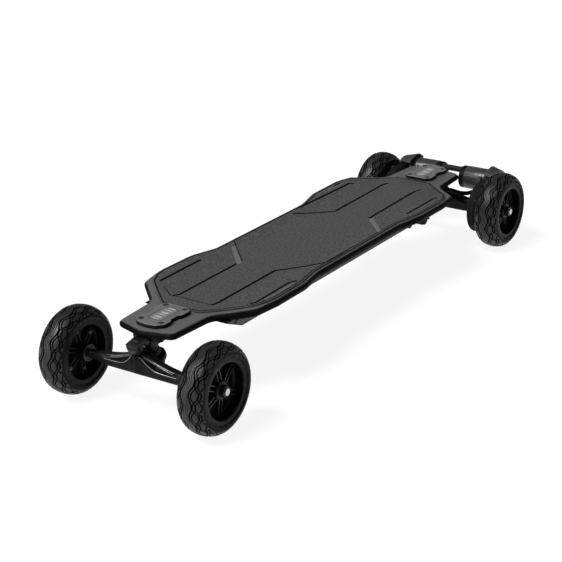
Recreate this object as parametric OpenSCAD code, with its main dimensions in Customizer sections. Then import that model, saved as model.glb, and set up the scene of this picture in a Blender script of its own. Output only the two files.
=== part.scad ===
// Electric longboard with pneumatic wheels, carving trucks and a rear belt drive.
// +X points at the nose, +Y at the rider's left, +Z up; the origin lies on the
// ground under the middle of the bounding box.

/* [Deck] */
// Distance between the front and rear axles
wheelbase = 1040; // [1000:5:1100]
// Overall length of the deck
deck_length = 1046; // [1030:2:1060]
// Width across the hips of the deck
deck_width = 266; // [256:2:276]
// Width across the waist of the deck
waist_width = 236; // [226:2:246]
// Width of the necks that carry the trucks
neck_width = 132; // [120:2:136]
// Thickness of the deck along its centre line
deck_core = 12.5; // [10:0.5:14]
// Rise of the deck's edge above its centre line
concave_rise = 8; // [4:0.5:10]
// Thickness of the grip pad
grip_thick = 3; // [2:0.5:4]

/* [Wheels] */
// Outer diameter of a tyre
wheel_d = 160; // [156:1:162]
// Width of a tyre
wheel_w = 54; // [52:1:58]
// Distance between the middles of the left and right wheels
track = 296; // [294:1:300]
// Number of spokes in a hub
spokes = 6; // [5:1:7]

/* [Trucks] */
// Height of the deck's underside above the axle centres
truck_height = 58.5; // [58:0.5:62]
// Angle of the steering axis above the horizontal
steer_angle = 34; // [33:0.5:35]
// Lean of the kingpin away from the vertical
kingpin_lean = 26; // [25:0.5:28]
// Distance from the axle to the centre of the truck bolts, towards mid-board
bolt_setback = 60; // [58:1:62]
// Spacing of the truck bolts along the board
bolt_span_x = 67.6; // [63.5:0.1:68]
// Spacing of the truck bolts across the board
bolt_span_y = 42.4; // [41.3:0.1:42.8]

/* [Drive] */
// Teeth on a wheel pulley
wheel_teeth = 66; // [64:1:66]
// Teeth on a motor pulley
motor_teeth = 15; // [14:1:16]
// Distance from the rear axle back to the motor shaft
motor_back = 67; // [65:0.5:70]
// Height of the motor shaft above the rear axle
motor_up = 36.5; // [36:0.5:40]
// Diameter of a motor can
motor_d = 50; // [48:1:50]

/* [Enclosure] */
// Length of the battery enclosure where it meets the deck
box_length = 792; // [784:2:796]
// Width of the battery enclosure where it meets the deck
box_width = 176; // [172:2:180]
// Depth of the battery enclosure below the deck
box_depth = 34.5; // [33:0.5:36]

/* [Hidden] */
$fn = 64;

snug = 0.02;         // radial gap of a part seated in its bore
running = 0.05;      // radial gap of a shaft that turns in its bore
clear = 0.3;         // gap between faces that move past each other

wheel_r = wheel_d / 2;
axle_r = 6;
cover_r = motor_d / 2 + 8;
axle_shift = (motor_back + cover_r - wheel_r) / 2;  // puts the origin mid-length
front_x = wheelbase / 2 + axle_shift;
rear_x = -wheelbase / 2 + axle_shift;
deck_mid = axle_shift + 4;
deck_z = wheel_r + truck_height;
deck_top = deck_z + deck_core;
flat_half = 45;      // half width of the deck's flat centre strip

// Steering geometry, in the truck's frame: x outwards, z up, origin mid-axle.
pivot = [19, 45];
pivot_to_ring = 64;
ring = pivot - pivot_to_ring * [cos(steer_angle), sin(steer_angle)];
ring_half = 5;       // half thickness of the hanger's ring
kingpin_r = 5;
pivot_r = 7;
hanger_half_front = 112;
hanger_half_rear = 94;
sleeve_r = 11;

// Bearings are 12 x 28 x 8 mm; these are distances from the board's centre plane.
bearing_w = 8;
bearing_r = 14;
wheel_y = track / 2;
inner_bearing_y = wheel_y - 29;
outer_bearing_y = wheel_y + 7;
spacer_r = 8;
rim_r = 54;

belt_pitch = 5;
wheel_pulley_r = wheel_teeth * belt_pitch / (2 * PI) - 0.6;
motor_pulley_r = motor_teeth * belt_pitch / (2 * PI) - 0.6;
belt_thick = 3;
belt_y = [99, 112];
mount_y = [86, 92];
can_y = [24, 86];
can_r = motor_d / 2;
rotor_r = 20;
shaft_r = 4;
cover_y = [92, 117];
wall = 2;

box_slope_x = 71;    // how far each end of the enclosure slopes in
box_slope_y = 18;    // how far each side of the enclosure slopes in
box_rim_x = 30;
box_rim_y = 10;
box_floor = 3;
gasket = 1.5;
box_screw_x = [-360, -180, 0, 180, 360];
box_end_screws = [380, 24];
port = [-294, 118];
button = [-244, 122];
boss_face = 88;
cap_hinge = [-16, boss_face + 3.8];  // from the port's axis
cap_pin_r = 0.8;
port_r = 9;
button_r = 6;
gland_y = 48;
gland_z = 125;
gland_x = [-400, -388];

cable_r = 4.5;
cable_sides = 10;
// Left motor cable, measured from the middle of the axles.
cable_route = [[-400, 48, 125], [-430, 48, 125], [-460, 48, 124], [-483, 49, 118], [-500, 53, 110],
  [-514, 59, 104], [-529, 66, 100.5], [-544, 73, 101.5], [-554, 77, 105.5]];

// ---- helpers ----

function unit(v) = v / norm(v);

// Points of the arc of radius r that rounds the corner b between a and c.
function corner(a, b, c, r, n) = r == 0 ? [b] :
  let (u = unit(a - b), v = unit(c - b), half = acos(u * v) / 2,
       turn = cross(b - a, c - b) > 0 ? 1 : -1,
       centre = b + unit(u + v) * r / sin(half),
       first = b + u * r / tan(half) - centre,
       start = atan2(first[1], first[0]), sweep = turn * (180 - 2 * half))
  [for (k = [0:n]) centre + r * [cos(start + sweep * k / n), sin(start + sweep * k / n)]];

// Closed outline through rows of [x, y, corner radius].
function rounded(rows, n = 5) = let (m = len(rows), p = [for (q = rows) [q[0], q[1]]])
  [for (i = [0:m - 1]) each corner(p[(i + m - 1) % m], p[i], p[(i + 1) % m], rows[i][2], n)];

function reversed(list) = [for (i = [len(list) - 1:-1:0]) list[i]];

// Completes one quarter of an outline, listed from the nose round to the waist.
function four_way(quarter) = concat(
  quarter, reversed([for (q = quarter) [-q[0], q[1], q[2]]]),
  [for (q = quarter) [-q[0], -q[1], q[2]]], reversed([for (q = quarter) [q[0], -q[1], q[2]]]));

// Completes a half profile that starts on the mirror line.
function two_way(half) = concat(half, reversed([for (q = half) [-q[0], q[1]]]));

module along_y(y0, y1, r) { translate([0, y0, 0]) rotate([-90, 0, 0]) cylinder(h = y1 - y0, r = r); }

// Turns a shape drawn in x, y and raised along z into one drawn in x, z at y0 to y1.
module plate_y(y0, y1) { translate([0, y1, 0]) rotate([90, 0, 0]) linear_extrude(y1 - y0) children(); }

module on_side(side) { if (side > 0) children(); else mirror([0, 1, 0]) children(); }

module at_truck(end) {
  translate([end > 0 ? front_x : rear_x, 0, wheel_r])
    if (end > 0) children(); else mirror([1, 0, 0]) children();
}

module both_trucks() { at_truck(1) children(); at_truck(-1) children(); }

// z runs along the kingpin, from the centre of the hanger's ring.
module along_kingpin() { translate([ring[0], 0, ring[1]]) rotate([0, kingpin_lean, 0]) children(); }

// z runs along the steering axis, from the centre of the hanger's ring.
module along_steering() { translate([ring[0], 0, ring[1]]) rotate([0, 90 - steer_angle, 0]) children(); }

module tube(r_out, r_in, h) {
  difference() { cylinder(h = h, r = r_out); translate([0, 0, -1]) cylinder(h = h + 2, r = r_in); }
}

module truck_bolt_places() {
  for (sx = [-1, 1], sy = [-1, 1])
    translate([-bolt_setback + sx * bolt_span_x / 2, sy * bolt_span_y / 2, 0]) children();
}

// ---- deck ----

// Height of the deck's top above its centre line, at distance y from the centre line.
function concave(y) = y < flat_half ? 0 :
  concave_rise * pow((y - flat_half) / (deck_width / 2 - flat_half), 2);

function top_curve(lift) = [for (k = [0:8]) let (y = flat_half + k * (deck_width / 2 + 4 - flat_half) / 8)
  [y, concave(y) + lift]];

// Bar along the board between two half curves, each listed outwards from the flat strip.
module section_bar(low, high) {
  points = concat(reversed(high), [for (p = high) [-p[0], p[1]]],
    reversed([for (p = low) [-p[0], p[1]]]), low);
  translate([deck_mid - deck_length / 2 - 5, 0, deck_top])
    rotate([90, 0, 90]) linear_extrude(deck_length + 10) polygon(points);
}

deck_quarter = [[deck_length / 2, 0, 0], [deck_length / 2 - 17, neck_width / 2 - 6, 15],
  [deck_length / 2 - 116, neck_width / 2, 34], [deck_length / 2 - 171, deck_width / 2 - 8, 24],
  [deck_length / 2 - 222, deck_width / 2, 90], [deck_length / 2 - 312, deck_width / 2 - 1, 90],
  [deck_length / 2 - 374, waist_width / 2, 90]];

grip_quarter = [[deck_length / 2 - 112, 40, 4], [deck_length / 2 - 176, 110, 6],
  [deck_length / 2 - 202, 122, 12], [deck_length / 2 - 228, 125.5, 40],
  [deck_length / 2 - 312, 123.5, 60], [deck_length / 2 - 372, 110, 60]];

module deck_outline() { polygon(rounded(four_way(deck_quarter))); }

module deck() {
  color("dimgray") difference() {
    intersection() {
      section_bar([[flat_half, -deck_core], [deck_width / 2 + 4, -deck_core]], top_curve(0));
      translate([deck_mid, 0, 0]) linear_extrude(400) deck_outline();
    }
    both_trucks() truck_bolt_places() cylinder(h = 100, r = 2.6);
    box_screw_places() translate([0, 0, deck_z - 1]) cylinder(h = 7, r = 2.05);
  }
}

module grip_pad() {
  color([0.16, 0.16, 0.16]) intersection() {
    section_bar(top_curve(0), top_curve(grip_thick));
    translate([deck_mid, 0, 0]) linear_extrude(400) polygon(rounded(four_way(grip_quarter)));
  }
}

// ---- truck plates on top of the deck, and the bolts through all of it ----

plate_top = truck_height + deck_core + 7;
plate_outline = [[-103.5, -22, 3], [-94, -31, 4], [-72, -31, 3], [-66, -26, 3], [-48, -26, 3], [-42, -31, 3],
  [-24, -31, 6], [-13, -20, 8], [-9, 0, 40], [-13, 20, 8], [-24, 31, 6], [-42, 31, 3], [-48, 26, 3],
  [-66, 26, 3], [-72, 31, 3], [-94, 31, 4], [-103.5, 22, 3]];

module truck_plate() {
  difference() {
    translate([0, 0, plate_top - 7]) linear_extrude(7) polygon(rounded(plate_outline, 4));
    truck_bolt_places() translate([0, 0, plate_top - 30]) cylinder(h = 40, r = 2.6);
    truck_bolt_places() translate([0, 0, plate_top - 3.3]) cylinder(h = 5, r = 5);
  }
}
module truck_plate_front() { color([0.2, 0.2, 0.2]) at_truck(1) truck_plate(); }
module truck_plate_rear() { color([0.2, 0.2, 0.2]) at_truck(-1) truck_plate(); }

flange_thick = 8;
nut_top = truck_height - flange_thick;

module truck_bolts() {
  color("black") both_trucks() truck_bolt_places() difference() {
    union() {
      translate([0, 0, nut_top - 7]) cylinder(h = plate_top - 3 - nut_top + 7, r = 2.5);
      translate([0, 0, plate_top - 3.2]) cylinder(h = 3, r = 4.8);
    }
    translate([0, 0, plate_top - 2.4]) cylinder(h = 4, r = 1.8, $fn = 6);
  }
}

module truck_nuts() {
  color("dimgray") both_trucks() truck_bolt_places() difference() {
    translate([0, 0, nut_top - 5]) cylinder(h = 5, r = 4.7, $fn = 6);
    cylinder(h = 100, r = 2.5 + snug);
  }
}

// ---- baseplates, kingpins, bushings ----

flange_outline = [[-104, -26, 6], [-98, -31, 4], [-14, -31, 6], [-5, -22, 6], [-5, 22, 6], [-14, 31, 6],
  [-98, 31, 4], [-104, 26, 6]];
wedge = [[-30, 58], [6, 58], [30, 53], [27, 42], [18, 38], [6, 42], [-12, 50], [-30, 50]];
boss_start = 18.6;   // distance from the ring's centre to the kingpin boss
pin_top = 42;

module baseplate() {
  difference() {
    intersection() {
      union() {
        translate([0, 0, nut_top]) linear_extrude(flange_thick) polygon(rounded(flange_outline));
        along_kingpin() translate([0, 0, boss_start]) cylinder(h = 60, r = 11);
        along_steering() translate([0, 0, 57]) cylinder(h = 12.5, r = 11.8);
        plate_y(-11, 11) polygon(wedge);
        translate([-86, -5, 38]) cube([66, 10, 14]);
        for (s = [-1, 1]) translate([-44, s * 9 - 2, 36]) cube([34, 4, 16]);
      }
      translate([-150, -50, -20]) cube([200, 100, truck_height + 20]);
    }
    truck_bolt_places() cylinder(h = 100, r = 2.6);
    along_kingpin() cylinder(h = 80, r = kingpin_r + snug);
    along_kingpin() translate([0, 0, pin_top]) cylinder(h = 30, r = 8.3);
    along_steering() translate([0, 0, 40]) cylinder(h = 28, r = 10 + snug);
    along_steering() translate([0, 0, 37]) cylinder(h = 20, r = 16);
  }
}
module baseplate_front() { color([0.13, 0.13, 0.13]) at_truck(1) baseplate(); }
module baseplate_rear() { color([0.13, 0.13, 0.13]) at_truck(-1) baseplate(); }

module pivot_cup() {
  along_steering() difference() {
    translate([0, 0, 56.5]) cylinder(h = 11.5, r = 10);
    translate([0, 0, 50]) cylinder(h = 16, r = pivot_r + running);
  }
}
module pivot_cup_front() { color([0.1, 0.1, 0.1]) at_truck(1) pivot_cup(); }
module pivot_cup_rear() { color([0.1, 0.1, 0.1]) at_truck(-1) pivot_cup(); }

module kingpins() {
  color("gray") both_trucks() along_kingpin() {
    translate([0, 0, -28]) cylinder(h = pin_top + 28, r = kingpin_r);
    translate([0, 0, pin_top]) cylinder(h = 4.5, r = 8, $fn = 6);
  }
}

module kingpin_nuts() {
  color("gray") both_trucks() along_kingpin() difference() {
    translate([0, 0, -25.5]) cylinder(h = 8, r = 8.6, $fn = 6);
    translate([0, 0, -40]) cylinder(h = 40, r = kingpin_r + snug);
  }
}

module bushings() {
  along_kingpin() {
    translate([0, 0, ring_half]) tube(13, kingpin_r + clear, 12);
    rotate([180, 0, 0]) translate([0, 0, ring_half]) difference() {
      cylinder(h = 11, r1 = 12.5, r2 = 10);
      translate([0, 0, -1]) cylinder(h = 14, r = kingpin_r + clear);
    }
  }
}
module bushings_front() { color([0.12, 0.12, 0.12]) at_truck(1) bushings(); }
module bushings_rear() { color([0.12, 0.12, 0.12]) at_truck(-1) bushings(); }

module bushing_washers() {
  color("gray") both_trucks() along_kingpin() {
    translate([0, 0, ring_half + 12]) tube(13, kingpin_r + snug, 1.5);
    translate([0, 0, -ring_half - 12.5]) tube(11.5, kingpin_r + snug, 1.5);
  }
}

// ---- battery enclosure ----

module box_solid(half_x, half_y, slope_x, slope_y, depth) {
  intersection() {
    translate([0, 200, 0]) rotate([90, 0, 0]) linear_extrude(400) polygon(
      [[half_x, 0], [half_x - slope_x, -depth], [slope_x - half_x, -depth], [-half_x, 0]]);
    translate([-500, 0, 0]) rotate([90, 0, 90]) linear_extrude(1000) polygon(
      [[half_y, 0], [half_y - slope_y, -depth], [slope_y - half_y, -depth], [-half_y, 0]]);
  }
}

module box_screw_places() {
  translate([deck_mid, 0, 0]) for (s = [-1, 1]) {
    for (x = box_screw_x) translate([x, s * (box_width - box_rim_y) / 2, 0]) children();
    for (t = [-1, 1]) translate([t * box_end_screws[0], s * box_end_screws[1], 0]) children();
  }
}

box_top = deck_z - gasket;

module box_cavity(depth) {
  box_solid(box_length / 2 - box_rim_x, box_width / 2 - box_rim_y, box_slope_x - 20, box_slope_y - 6, depth);
}

module at_boss(place) { translate([deck_mid + place[0], 0, place[1]]) children(); }

module enclosure() {
  color([0.1, 0.1, 0.1]) difference() {
    union() {
      difference() {
        union() {
          translate([deck_mid, 0, box_top])
            box_solid(box_length / 2, box_width / 2, box_slope_x, box_slope_y, box_depth - gasket);
          at_boss(port) along_y(66, boss_face, 13);
          at_boss(button) along_y(66, boss_face - 2, 10);
          for (s = [-1, 1]) translate([gland_x[1] + axle_shift, s * gland_y, gland_z])
            rotate([0, 90, 0]) cylinder(h = 40, r = 8);
        }
        translate([deck_mid, 0, box_top + 1]) box_cavity(box_depth - gasket - box_floor + 1);
      }
    }
    at_boss(port) along_y(60, 100, port_r + snug);
    at_boss(button) along_y(60, 100, button_r + running);
    at_boss(button) along_y(55, 75, 9);
    for (s = [-1, 1]) translate([gland_x[1] + axle_shift - 1, s * gland_y, gland_z])
      rotate([0, 90, 0]) cylinder(h = 60, r = 6 + snug);
    box_screw_places() {
      translate([0, 0, deck_z - 40]) cylinder(h = 60, r = 2.05);
      translate([0, 0, deck_z - 48]) cylinder(h = 40, r = 4.5);
    }
  }
}

module enclosure_gasket() {
  color("black") difference() {
    translate([deck_mid, 0, box_top]) linear_extrude(gasket) difference() {
      square([box_length, box_width], center = true);
      square([box_length - 2 * box_rim_x, box_width - 2 * box_rim_y], center = true);
    }
    box_screw_places() cylinder(h = 300, r = 2.3);
  }
}

module enclosure_screws() {
  color("dimgray") box_screw_places() difference() {
    union() {
      translate([0, 0, deck_z - 9]) cylinder(h = 14, r = 2);
      translate([0, 0, deck_z - 11]) cylinder(h = 3, r = 3.8);
    }
    translate([0, 0, deck_z - 12]) cylinder(h = 2.5, r = 1.7, $fn = 6);
  }
}

module battery_pack() {
  color([0.15, 0.2, 0.3]) translate([deck_mid - 110, -60, deck_z - box_depth + box_floor + 0.5])
    cube([400, 120, 28]);
}

module motor_controller() {
  color([0.3, 0.3, 0.32]) translate([deck_mid - 300, -55, deck_z - box_depth + box_floor + 0.5]) union() {
    cube([150, 110, 18]);
    for (k = [0:8]) translate([6, 6 + 11 * k, 17]) cube([138, 4, 8]);
  }
}

module power_button() {
  color("dimgray") at_boss(button) union() {
    along_y(71, boss_face - 0.5, button_r);
    along_y(71, 74.5, 7.6);
  }
}

module charge_port() {
  color([0.12, 0.12, 0.12]) at_boss(port) {
    difference() {
      union() {
        along_y(68, boss_face + 1.5, port_r);
        along_y(boss_face, boss_face + 1.5, 12.5);
        translate([-20, boss_face, -5]) cube([10, 1.5, 10]);
        for (s = [-1, 1]) translate([cap_hinge[0], cap_hinge[1], s * 4 - 1]) cylinder(h = 2, r = 2);
        for (s = [-1, 1]) translate([cap_hinge[0] - 2, boss_face, s * 4 - 1])
          cube([4, cap_hinge[1] - boss_face, 2]);
        translate([cap_hinge[0], cap_hinge[1], -5]) cylinder(h = 10, r = cap_pin_r);
      }
      along_y(76, 100, 5);
    }
  }
}

module charge_port_cap() {
  color([0.08, 0.08, 0.08]) at_boss(port) difference() {
    union() {
      along_y(boss_face + 1.5 + clear, boss_face + 4.3, 12);
      along_y(boss_face - 0.5, boss_face + 2, 4.4);
      translate([cap_hinge[0], boss_face + 2.4, -2.6]) cube([8, 2.5, 5.2]);
      translate([cap_hinge[0], cap_hinge[1], -2.6]) cylinder(h = 5.2, r = 2);
    }
    translate([cap_hinge[0], cap_hinge[1], -10]) cylinder(h = 20, r = cap_pin_r + running);
  }
}

module cable_glands() {
  color([0.08, 0.08, 0.08]) for (s = [-1, 1])
    translate([axle_shift, s * gland_y, gland_z]) rotate([0, 90, 0]) difference() {
      union() {
        translate([0, 0, gland_x[0]]) cylinder(h = gland_x[1] - gland_x[0], r = 8);
        translate([0, 0, gland_x[0] + 4]) cylinder(h = 4, r = 9.5, $fn = 6);
        translate([0, 0, gland_x[1] - 1]) cylinder(h = 34, r = 6);
      }
      translate([0, 0, gland_x[0] + 3]) cylinder(h = 60, r = cable_r);
    }
}

// ---- motor cables ----

// Ring of points round the route at point i, square to the route's direction there.
function cable_ring(route, i) =
  let (last = len(route) - 1, d = unit(route[min(i + 1, last)] - route[max(i - 1, 0)]),
       u = unit(cross(d, [0, 0, 1])), w = cross(u, d))
  [for (k = [0:cable_sides - 1]) let (a = 360 * k / cable_sides)
    route[i] + cable_r * (u * cos(a) + w * sin(a))];

module swept_tube(route) {
  n = cable_sides;
  rings = len(route);
  points = [for (i = [0:rings - 1]) each cable_ring(route, i)];
  walls = [for (i = [0:rings - 2], k = [0:n - 1])
    [i * n + k, (i + 1) * n + k, (i + 1) * n + (k + 1) % n, i * n + (k + 1) % n]];
  first_cap = [for (k = [0:n - 1]) k];
  last_cap = [for (k = [n - 1:-1:0]) (rings - 1) * n + k];
  polyhedron(points, concat(walls, [first_cap, last_cap]));
}

module motor_cable(side) {
  color("black") on_side(side) translate([axle_shift, 0, 0]) swept_tube(cable_route);
}
module motor_cable_left() { motor_cable(1); }
module motor_cable_right() { motor_cable(-1); }

// ---- hangers and axles ----

// The straight beam, deepest at its middle, with its lower front edge cut back.
module beam(half) {
  front = [[0, 36], [7, 34], [24, 24.5], [42, 18.5], [75, 12], [half, sleeve_r], [half, -sleeve_r],
    [80, -14.5], [0, -14.5]];
  plan = [[25, 0], [20, 10], [16, 25], [12, 75], [sleeve_r, half], [-sleeve_r, half], [-12, 75], [-12, 0]];
  difference() {
    intersection() {
      translate([-60, 0, 0]) rotate([90, 0, 90]) linear_extrude(120) polygon(two_way(front));
      translate([0, 0, -60]) linear_extrude(120)
        polygon(concat(plan, reversed([for (p = plan) [p[0], -p[1]]])));
    }
    plate_y(-82, 82) polygon([[0, -14.5], [40, 9.5], [40, -30], [0, -30]]);
    along_steering() translate([0, 0, 55]) cylinder(h = 40, r = 15);
  }
}

module hanger(half) {
  difference() {
    union() {
      beam(half);
      along_steering() translate([0, 0, 24]) cylinder(h = 26, r1 = 13, r2 = 8);
      along_steering() translate([0, 0, 40]) cylinder(h = 25.5, r = pivot_r);
      along_kingpin() translate([0, 0, -ring_half]) cylinder(h = 2 * ring_half, r = 19);
      along_kingpin() translate([0, -19, -ring_half]) cube([29, 38, 2 * ring_half]);
    }
    along_kingpin() translate([0, 0, ring_half]) cylinder(h = 60, r = 19.5);
    along_kingpin() translate([0, 0, -20]) cylinder(h = 40, r = 8.5);
    along_kingpin() translate([0, 0, -ring_half - 30]) cylinder(h = 30, r = 17);
    along_y(-half - 1, half + 1, axle_r + snug);
    for (s = [-1, 1]) on_side(s) translate([-20, 83.5, -20]) difference() {
      cube([40, 60, 40]);
      translate([20, 0, 20]) along_y(-1, 61, sleeve_r);
    }
  }
}
module hanger_front() { color([0.15, 0.15, 0.15]) at_truck(1) hanger(hanger_half_front); }
module hanger_rear() { color([0.15, 0.15, 0.15]) at_truck(-1) hanger(hanger_half_rear); }

module axle() { along_y(-outer_bearing_y - 20, outer_bearing_y + 20, axle_r); }
module axle_front() { color("silver") at_truck(1) axle(); }
module axle_rear() { color("silver") at_truck(-1) axle(); }

// Spacers, washers and nuts that hold the wheels along one axle.
module axle_hardware(half) {
  bore = axle_r + snug;
  for (s = [-1, 1]) on_side(s) rotate([-90, 0, 0]) {
    translate([0, 0, half]) tube(spacer_r, bore, inner_bearing_y - half - 0.1);
    translate([0, 0, inner_bearing_y + bearing_w + 0.1])
      tube(spacer_r, bore, outer_bearing_y - inner_bearing_y - bearing_w - 0.2);
    translate([0, 0, outer_bearing_y + bearing_w + 0.2]) tube(9, bore, 1.5);
    translate([0, 0, outer_bearing_y + bearing_w + 1.7]) difference() {
      cylinder(h = 8, r = 10.4, $fn = 6);
      translate([0, 0, -1]) cylinder(h = 10, r = bore);
    }
  }
}
module axle_hardware_front() { color("silver") at_truck(1) axle_hardware(hanger_half_front); }
module axle_hardware_rear() { color("silver") at_truck(-1) axle_hardware(hanger_half_rear); }

// ---- wheels ----

module at_wheel(end, side) {
  at_truck(end) on_side(side) translate([0, wheel_y, 0]) rotate([-90, 0, 0]) children();
}

// Half sections as [radius, distance from the wheel's middle plane].
tyre_outside = [[wheel_r, 0], [wheel_r - 0.9, wheel_w * 0.17], [wheel_r - 3.1, wheel_w * 0.3],
  [wheel_r - 6.1, wheel_w * 0.39], [wheel_r - 11, wheel_w * 0.468], [wheel_r - 16, wheel_w * 0.5],
  [60, wheel_w * 0.47], [58.4, 22], [rim_r, 22]];
tyre_inside = [[rim_r, 16], [60, 20.5], [67, 22], [72, 19], [74, 10], [74.5, 0]];

module tyre() {
  half = concat(tyre_outside, tyre_inside);
  rotate_extrude($fn = 96) polygon(concat(half, reversed([for (p = half) [p[0], -p[1]]])));
}

module tyre_at(end, side) { color([0.07, 0.07, 0.07]) at_wheel(end, side) tyre(); }
module tyre_front_left() { tyre_at(1, 1); }
module tyre_front_right() { tyre_at(1, -1); }
module tyre_rear_left() { tyre_at(-1, 1); }
module tyre_rear_right() { tyre_at(-1, -1); }

rim_in = 50;
barrel_r = 18;
barrel_from = inner_bearing_y - wheel_y - 0.5;
barrel_to = outer_bearing_y + bearing_w - wheel_y + 0.5;

module hub() {
  difference() {
    union() {
      rotate_extrude($fn = 96) polygon([[rim_in, -24.5], [58, -24.5], [58, -22.3], [rim_r - 0.1, -22.3],
        [rim_r - 0.1, 22.3], [58, 22.3], [58, 24.5], [rim_in, 24.5]]);
      translate([0, 0, barrel_from]) cylinder(h = barrel_to - barrel_from, r = barrel_r);
      translate([0, 0, -1]) cylinder(h = 3, r = rim_in + 1);
      for (k = [0:spokes - 1]) rotate(360 * k / spokes) for (s = [-1, 1])
        translate([barrel_r - 2, s * 5 - 2.5, 0]) cube([rim_in - barrel_r + 3, 5, 10]);
    }
    translate([0, 0, barrel_from - 1]) cylinder(h = bearing_w + 1.5, r = bearing_r + snug);
    translate([0, 0, outer_bearing_y - wheel_y]) cylinder(h = bearing_w + 2, r = bearing_r + snug);
    translate([0, 0, barrel_from - 1]) cylinder(h = 80, r = 10);
  }
}

module hub_at(end, side) { color([0.1, 0.1, 0.1]) at_wheel(end, side) hub(); }
module hub_front_left() { hub_at(1, 1); }
module hub_front_right() { hub_at(1, -1); }
module hub_rear_left() { hub_at(-1, 1); }
module hub_rear_right() { hub_at(-1, -1); }

module bearings(end, side) {
  color("silver") at_wheel(end, side) for (y = [inner_bearing_y, outer_bearing_y])
    translate([0, 0, y - wheel_y]) difference() {
      tube(bearing_r, axle_r + running, bearing_w);
      for (z = [-1, bearing_w - 0.6]) translate([0, 0, z]) tube(11.6, 8.6, 1.6);
    }
}
module bearings_front_left() { bearings(1, 1); }
module bearings_front_right() { bearings(1, -1); }
module bearings_rear_left() { bearings(-1, 1); }
module bearings_rear_right() { bearings(-1, -1); }

// ---- rear belt drive, drawn for the left side in the rear truck's frame ----

drive_span = norm([motor_back, motor_up]);
drive_tilt = atan2(motor_up, motor_back);

// Outline round two discs, r0 on the axle and r1 on the motor shaft, seen in x, z.
module two_discs(r0, r1) {
  lean = acos((r0 - r1) / drive_span);
  steps = 40;
  rotate(drive_tilt) polygon(concat(
    [for (k = [0:steps]) let (a = lean + k * (360 - 2 * lean) / steps) r0 * [cos(a), sin(a)]],
    [for (k = [0:steps]) let (a = -lean + k * 2 * lean / steps)
      [drive_span, 0] + r1 * [cos(a), sin(a)]]));
}

module at_motor() { translate([motor_back, 0, motor_up]) children(); }

module at_tension_bolt() { at_motor() translate([18, (mount_y[0] + mount_y[1]) / 2, 0]) children(); }

module motor_mount(side) {
  color([0.14, 0.14, 0.14]) at_truck(-1) on_side(side) difference() {
    plate_y(mount_y[0], mount_y[1]) two_discs(19, 24.5);
    along_y(80, 100, sleeve_r + snug);
    at_motor() along_y(80, 100, 9);
    at_motor() motor_screw_places() along_y(80, 100, 2.1);
    at_tension_bolt() translate([0, 0, 8]) cylinder(h = 20, r = 1.55);
  }
}
module motor_mount_left() { motor_mount(1); }
module motor_mount_right() { motor_mount(-1); }

module motor_screw_places() { for (a = [45:90:315]) rotate([0, a, 0]) translate([15, 0, 0]) children(); }

// Four screws hold each motor, and one upright bolt sets the belt's tension.
module motor_screws() {
  color("silver") at_truck(-1) for (s = [-1, 1]) on_side(s) at_motor() {
    motor_screw_places() {
      along_y(mount_y[0] - 4, mount_y[1], 2);
      along_y(mount_y[1], mount_y[1] + 2.4, 3.6);
    }
  }
  color("silver") at_truck(-1) for (s = [-1, 1]) on_side(s) at_tension_bolt() {
    translate([0, 0, 9]) cylinder(h = 13, r = 1.5);
    translate([0, 0, 21.5]) cylinder(h = 2.8, r = 2.9);
  }
}

brace = [-3, 15.5];  // centre of the bar between the motors, from a motor's axis
brace_r = 6.5;

module motor_brace() {
  color([0.1, 0.1, 0.1]) at_truck(-1) at_motor() translate([brace[0], 0, brace[1]])
    along_y(-can_y[0] - 2, can_y[0] + 2, brace_r);
}

module motor_housing(side) {
  color([0.12, 0.12, 0.12]) at_truck(-1) on_side(side) at_motor() difference() {
    union() {
      along_y(can_y[0], can_y[1], can_r);
      rotate([0, 197, 0]) translate([20, 77, 0]) rotate([0, 90, 0]) cylinder(h = 13, r = 6.5);
    }
    along_y(can_y[0] + 3, can_y[1] - 3, rotor_r + 2);
    along_y(can_y[0] - 1, can_y[1] + 1, shaft_r + running);
    motor_screw_places() along_y(mount_y[0] - 4.2, 90, 2.1);
    translate([brace[0], 0, brace[1]]) along_y(can_y[0] - 1, can_y[0] + 2.1, brace_r + snug);
  }
}
module motor_housing_left() { motor_housing(1); }
module motor_housing_right() { motor_housing(-1); }

module motor_rotor(side) {
  color("silver") at_truck(-1) on_side(side) at_motor() union() {
    along_y(can_y[0] + 5, can_y[1] - 5, rotor_r);
    along_y(can_y[0] + 0.5, belt_y[1] + 1.8, shaft_r);
  }
}
module motor_rotor_left() { motor_rotor(1); }
module motor_rotor_right() { motor_rotor(-1); }

module motor_pulley(side) {
  color("silver") at_truck(-1) on_side(side) at_motor() difference() {
    union() {
      along_y(belt_y[0] - 1.8, belt_y[1] + 1.8, motor_pulley_r);
      along_y(belt_y[0] - 1.8, belt_y[0] - 0.6, motor_pulley_r + 2.6);
      along_y(belt_y[1] + 0.6, belt_y[1] + 1.8, motor_pulley_r + 2.6);
    }
    along_y(90, 120, shaft_r + snug);
  }
}
module motor_pulley_left() { motor_pulley(1); }
module motor_pulley_right() { motor_pulley(-1); }

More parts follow.
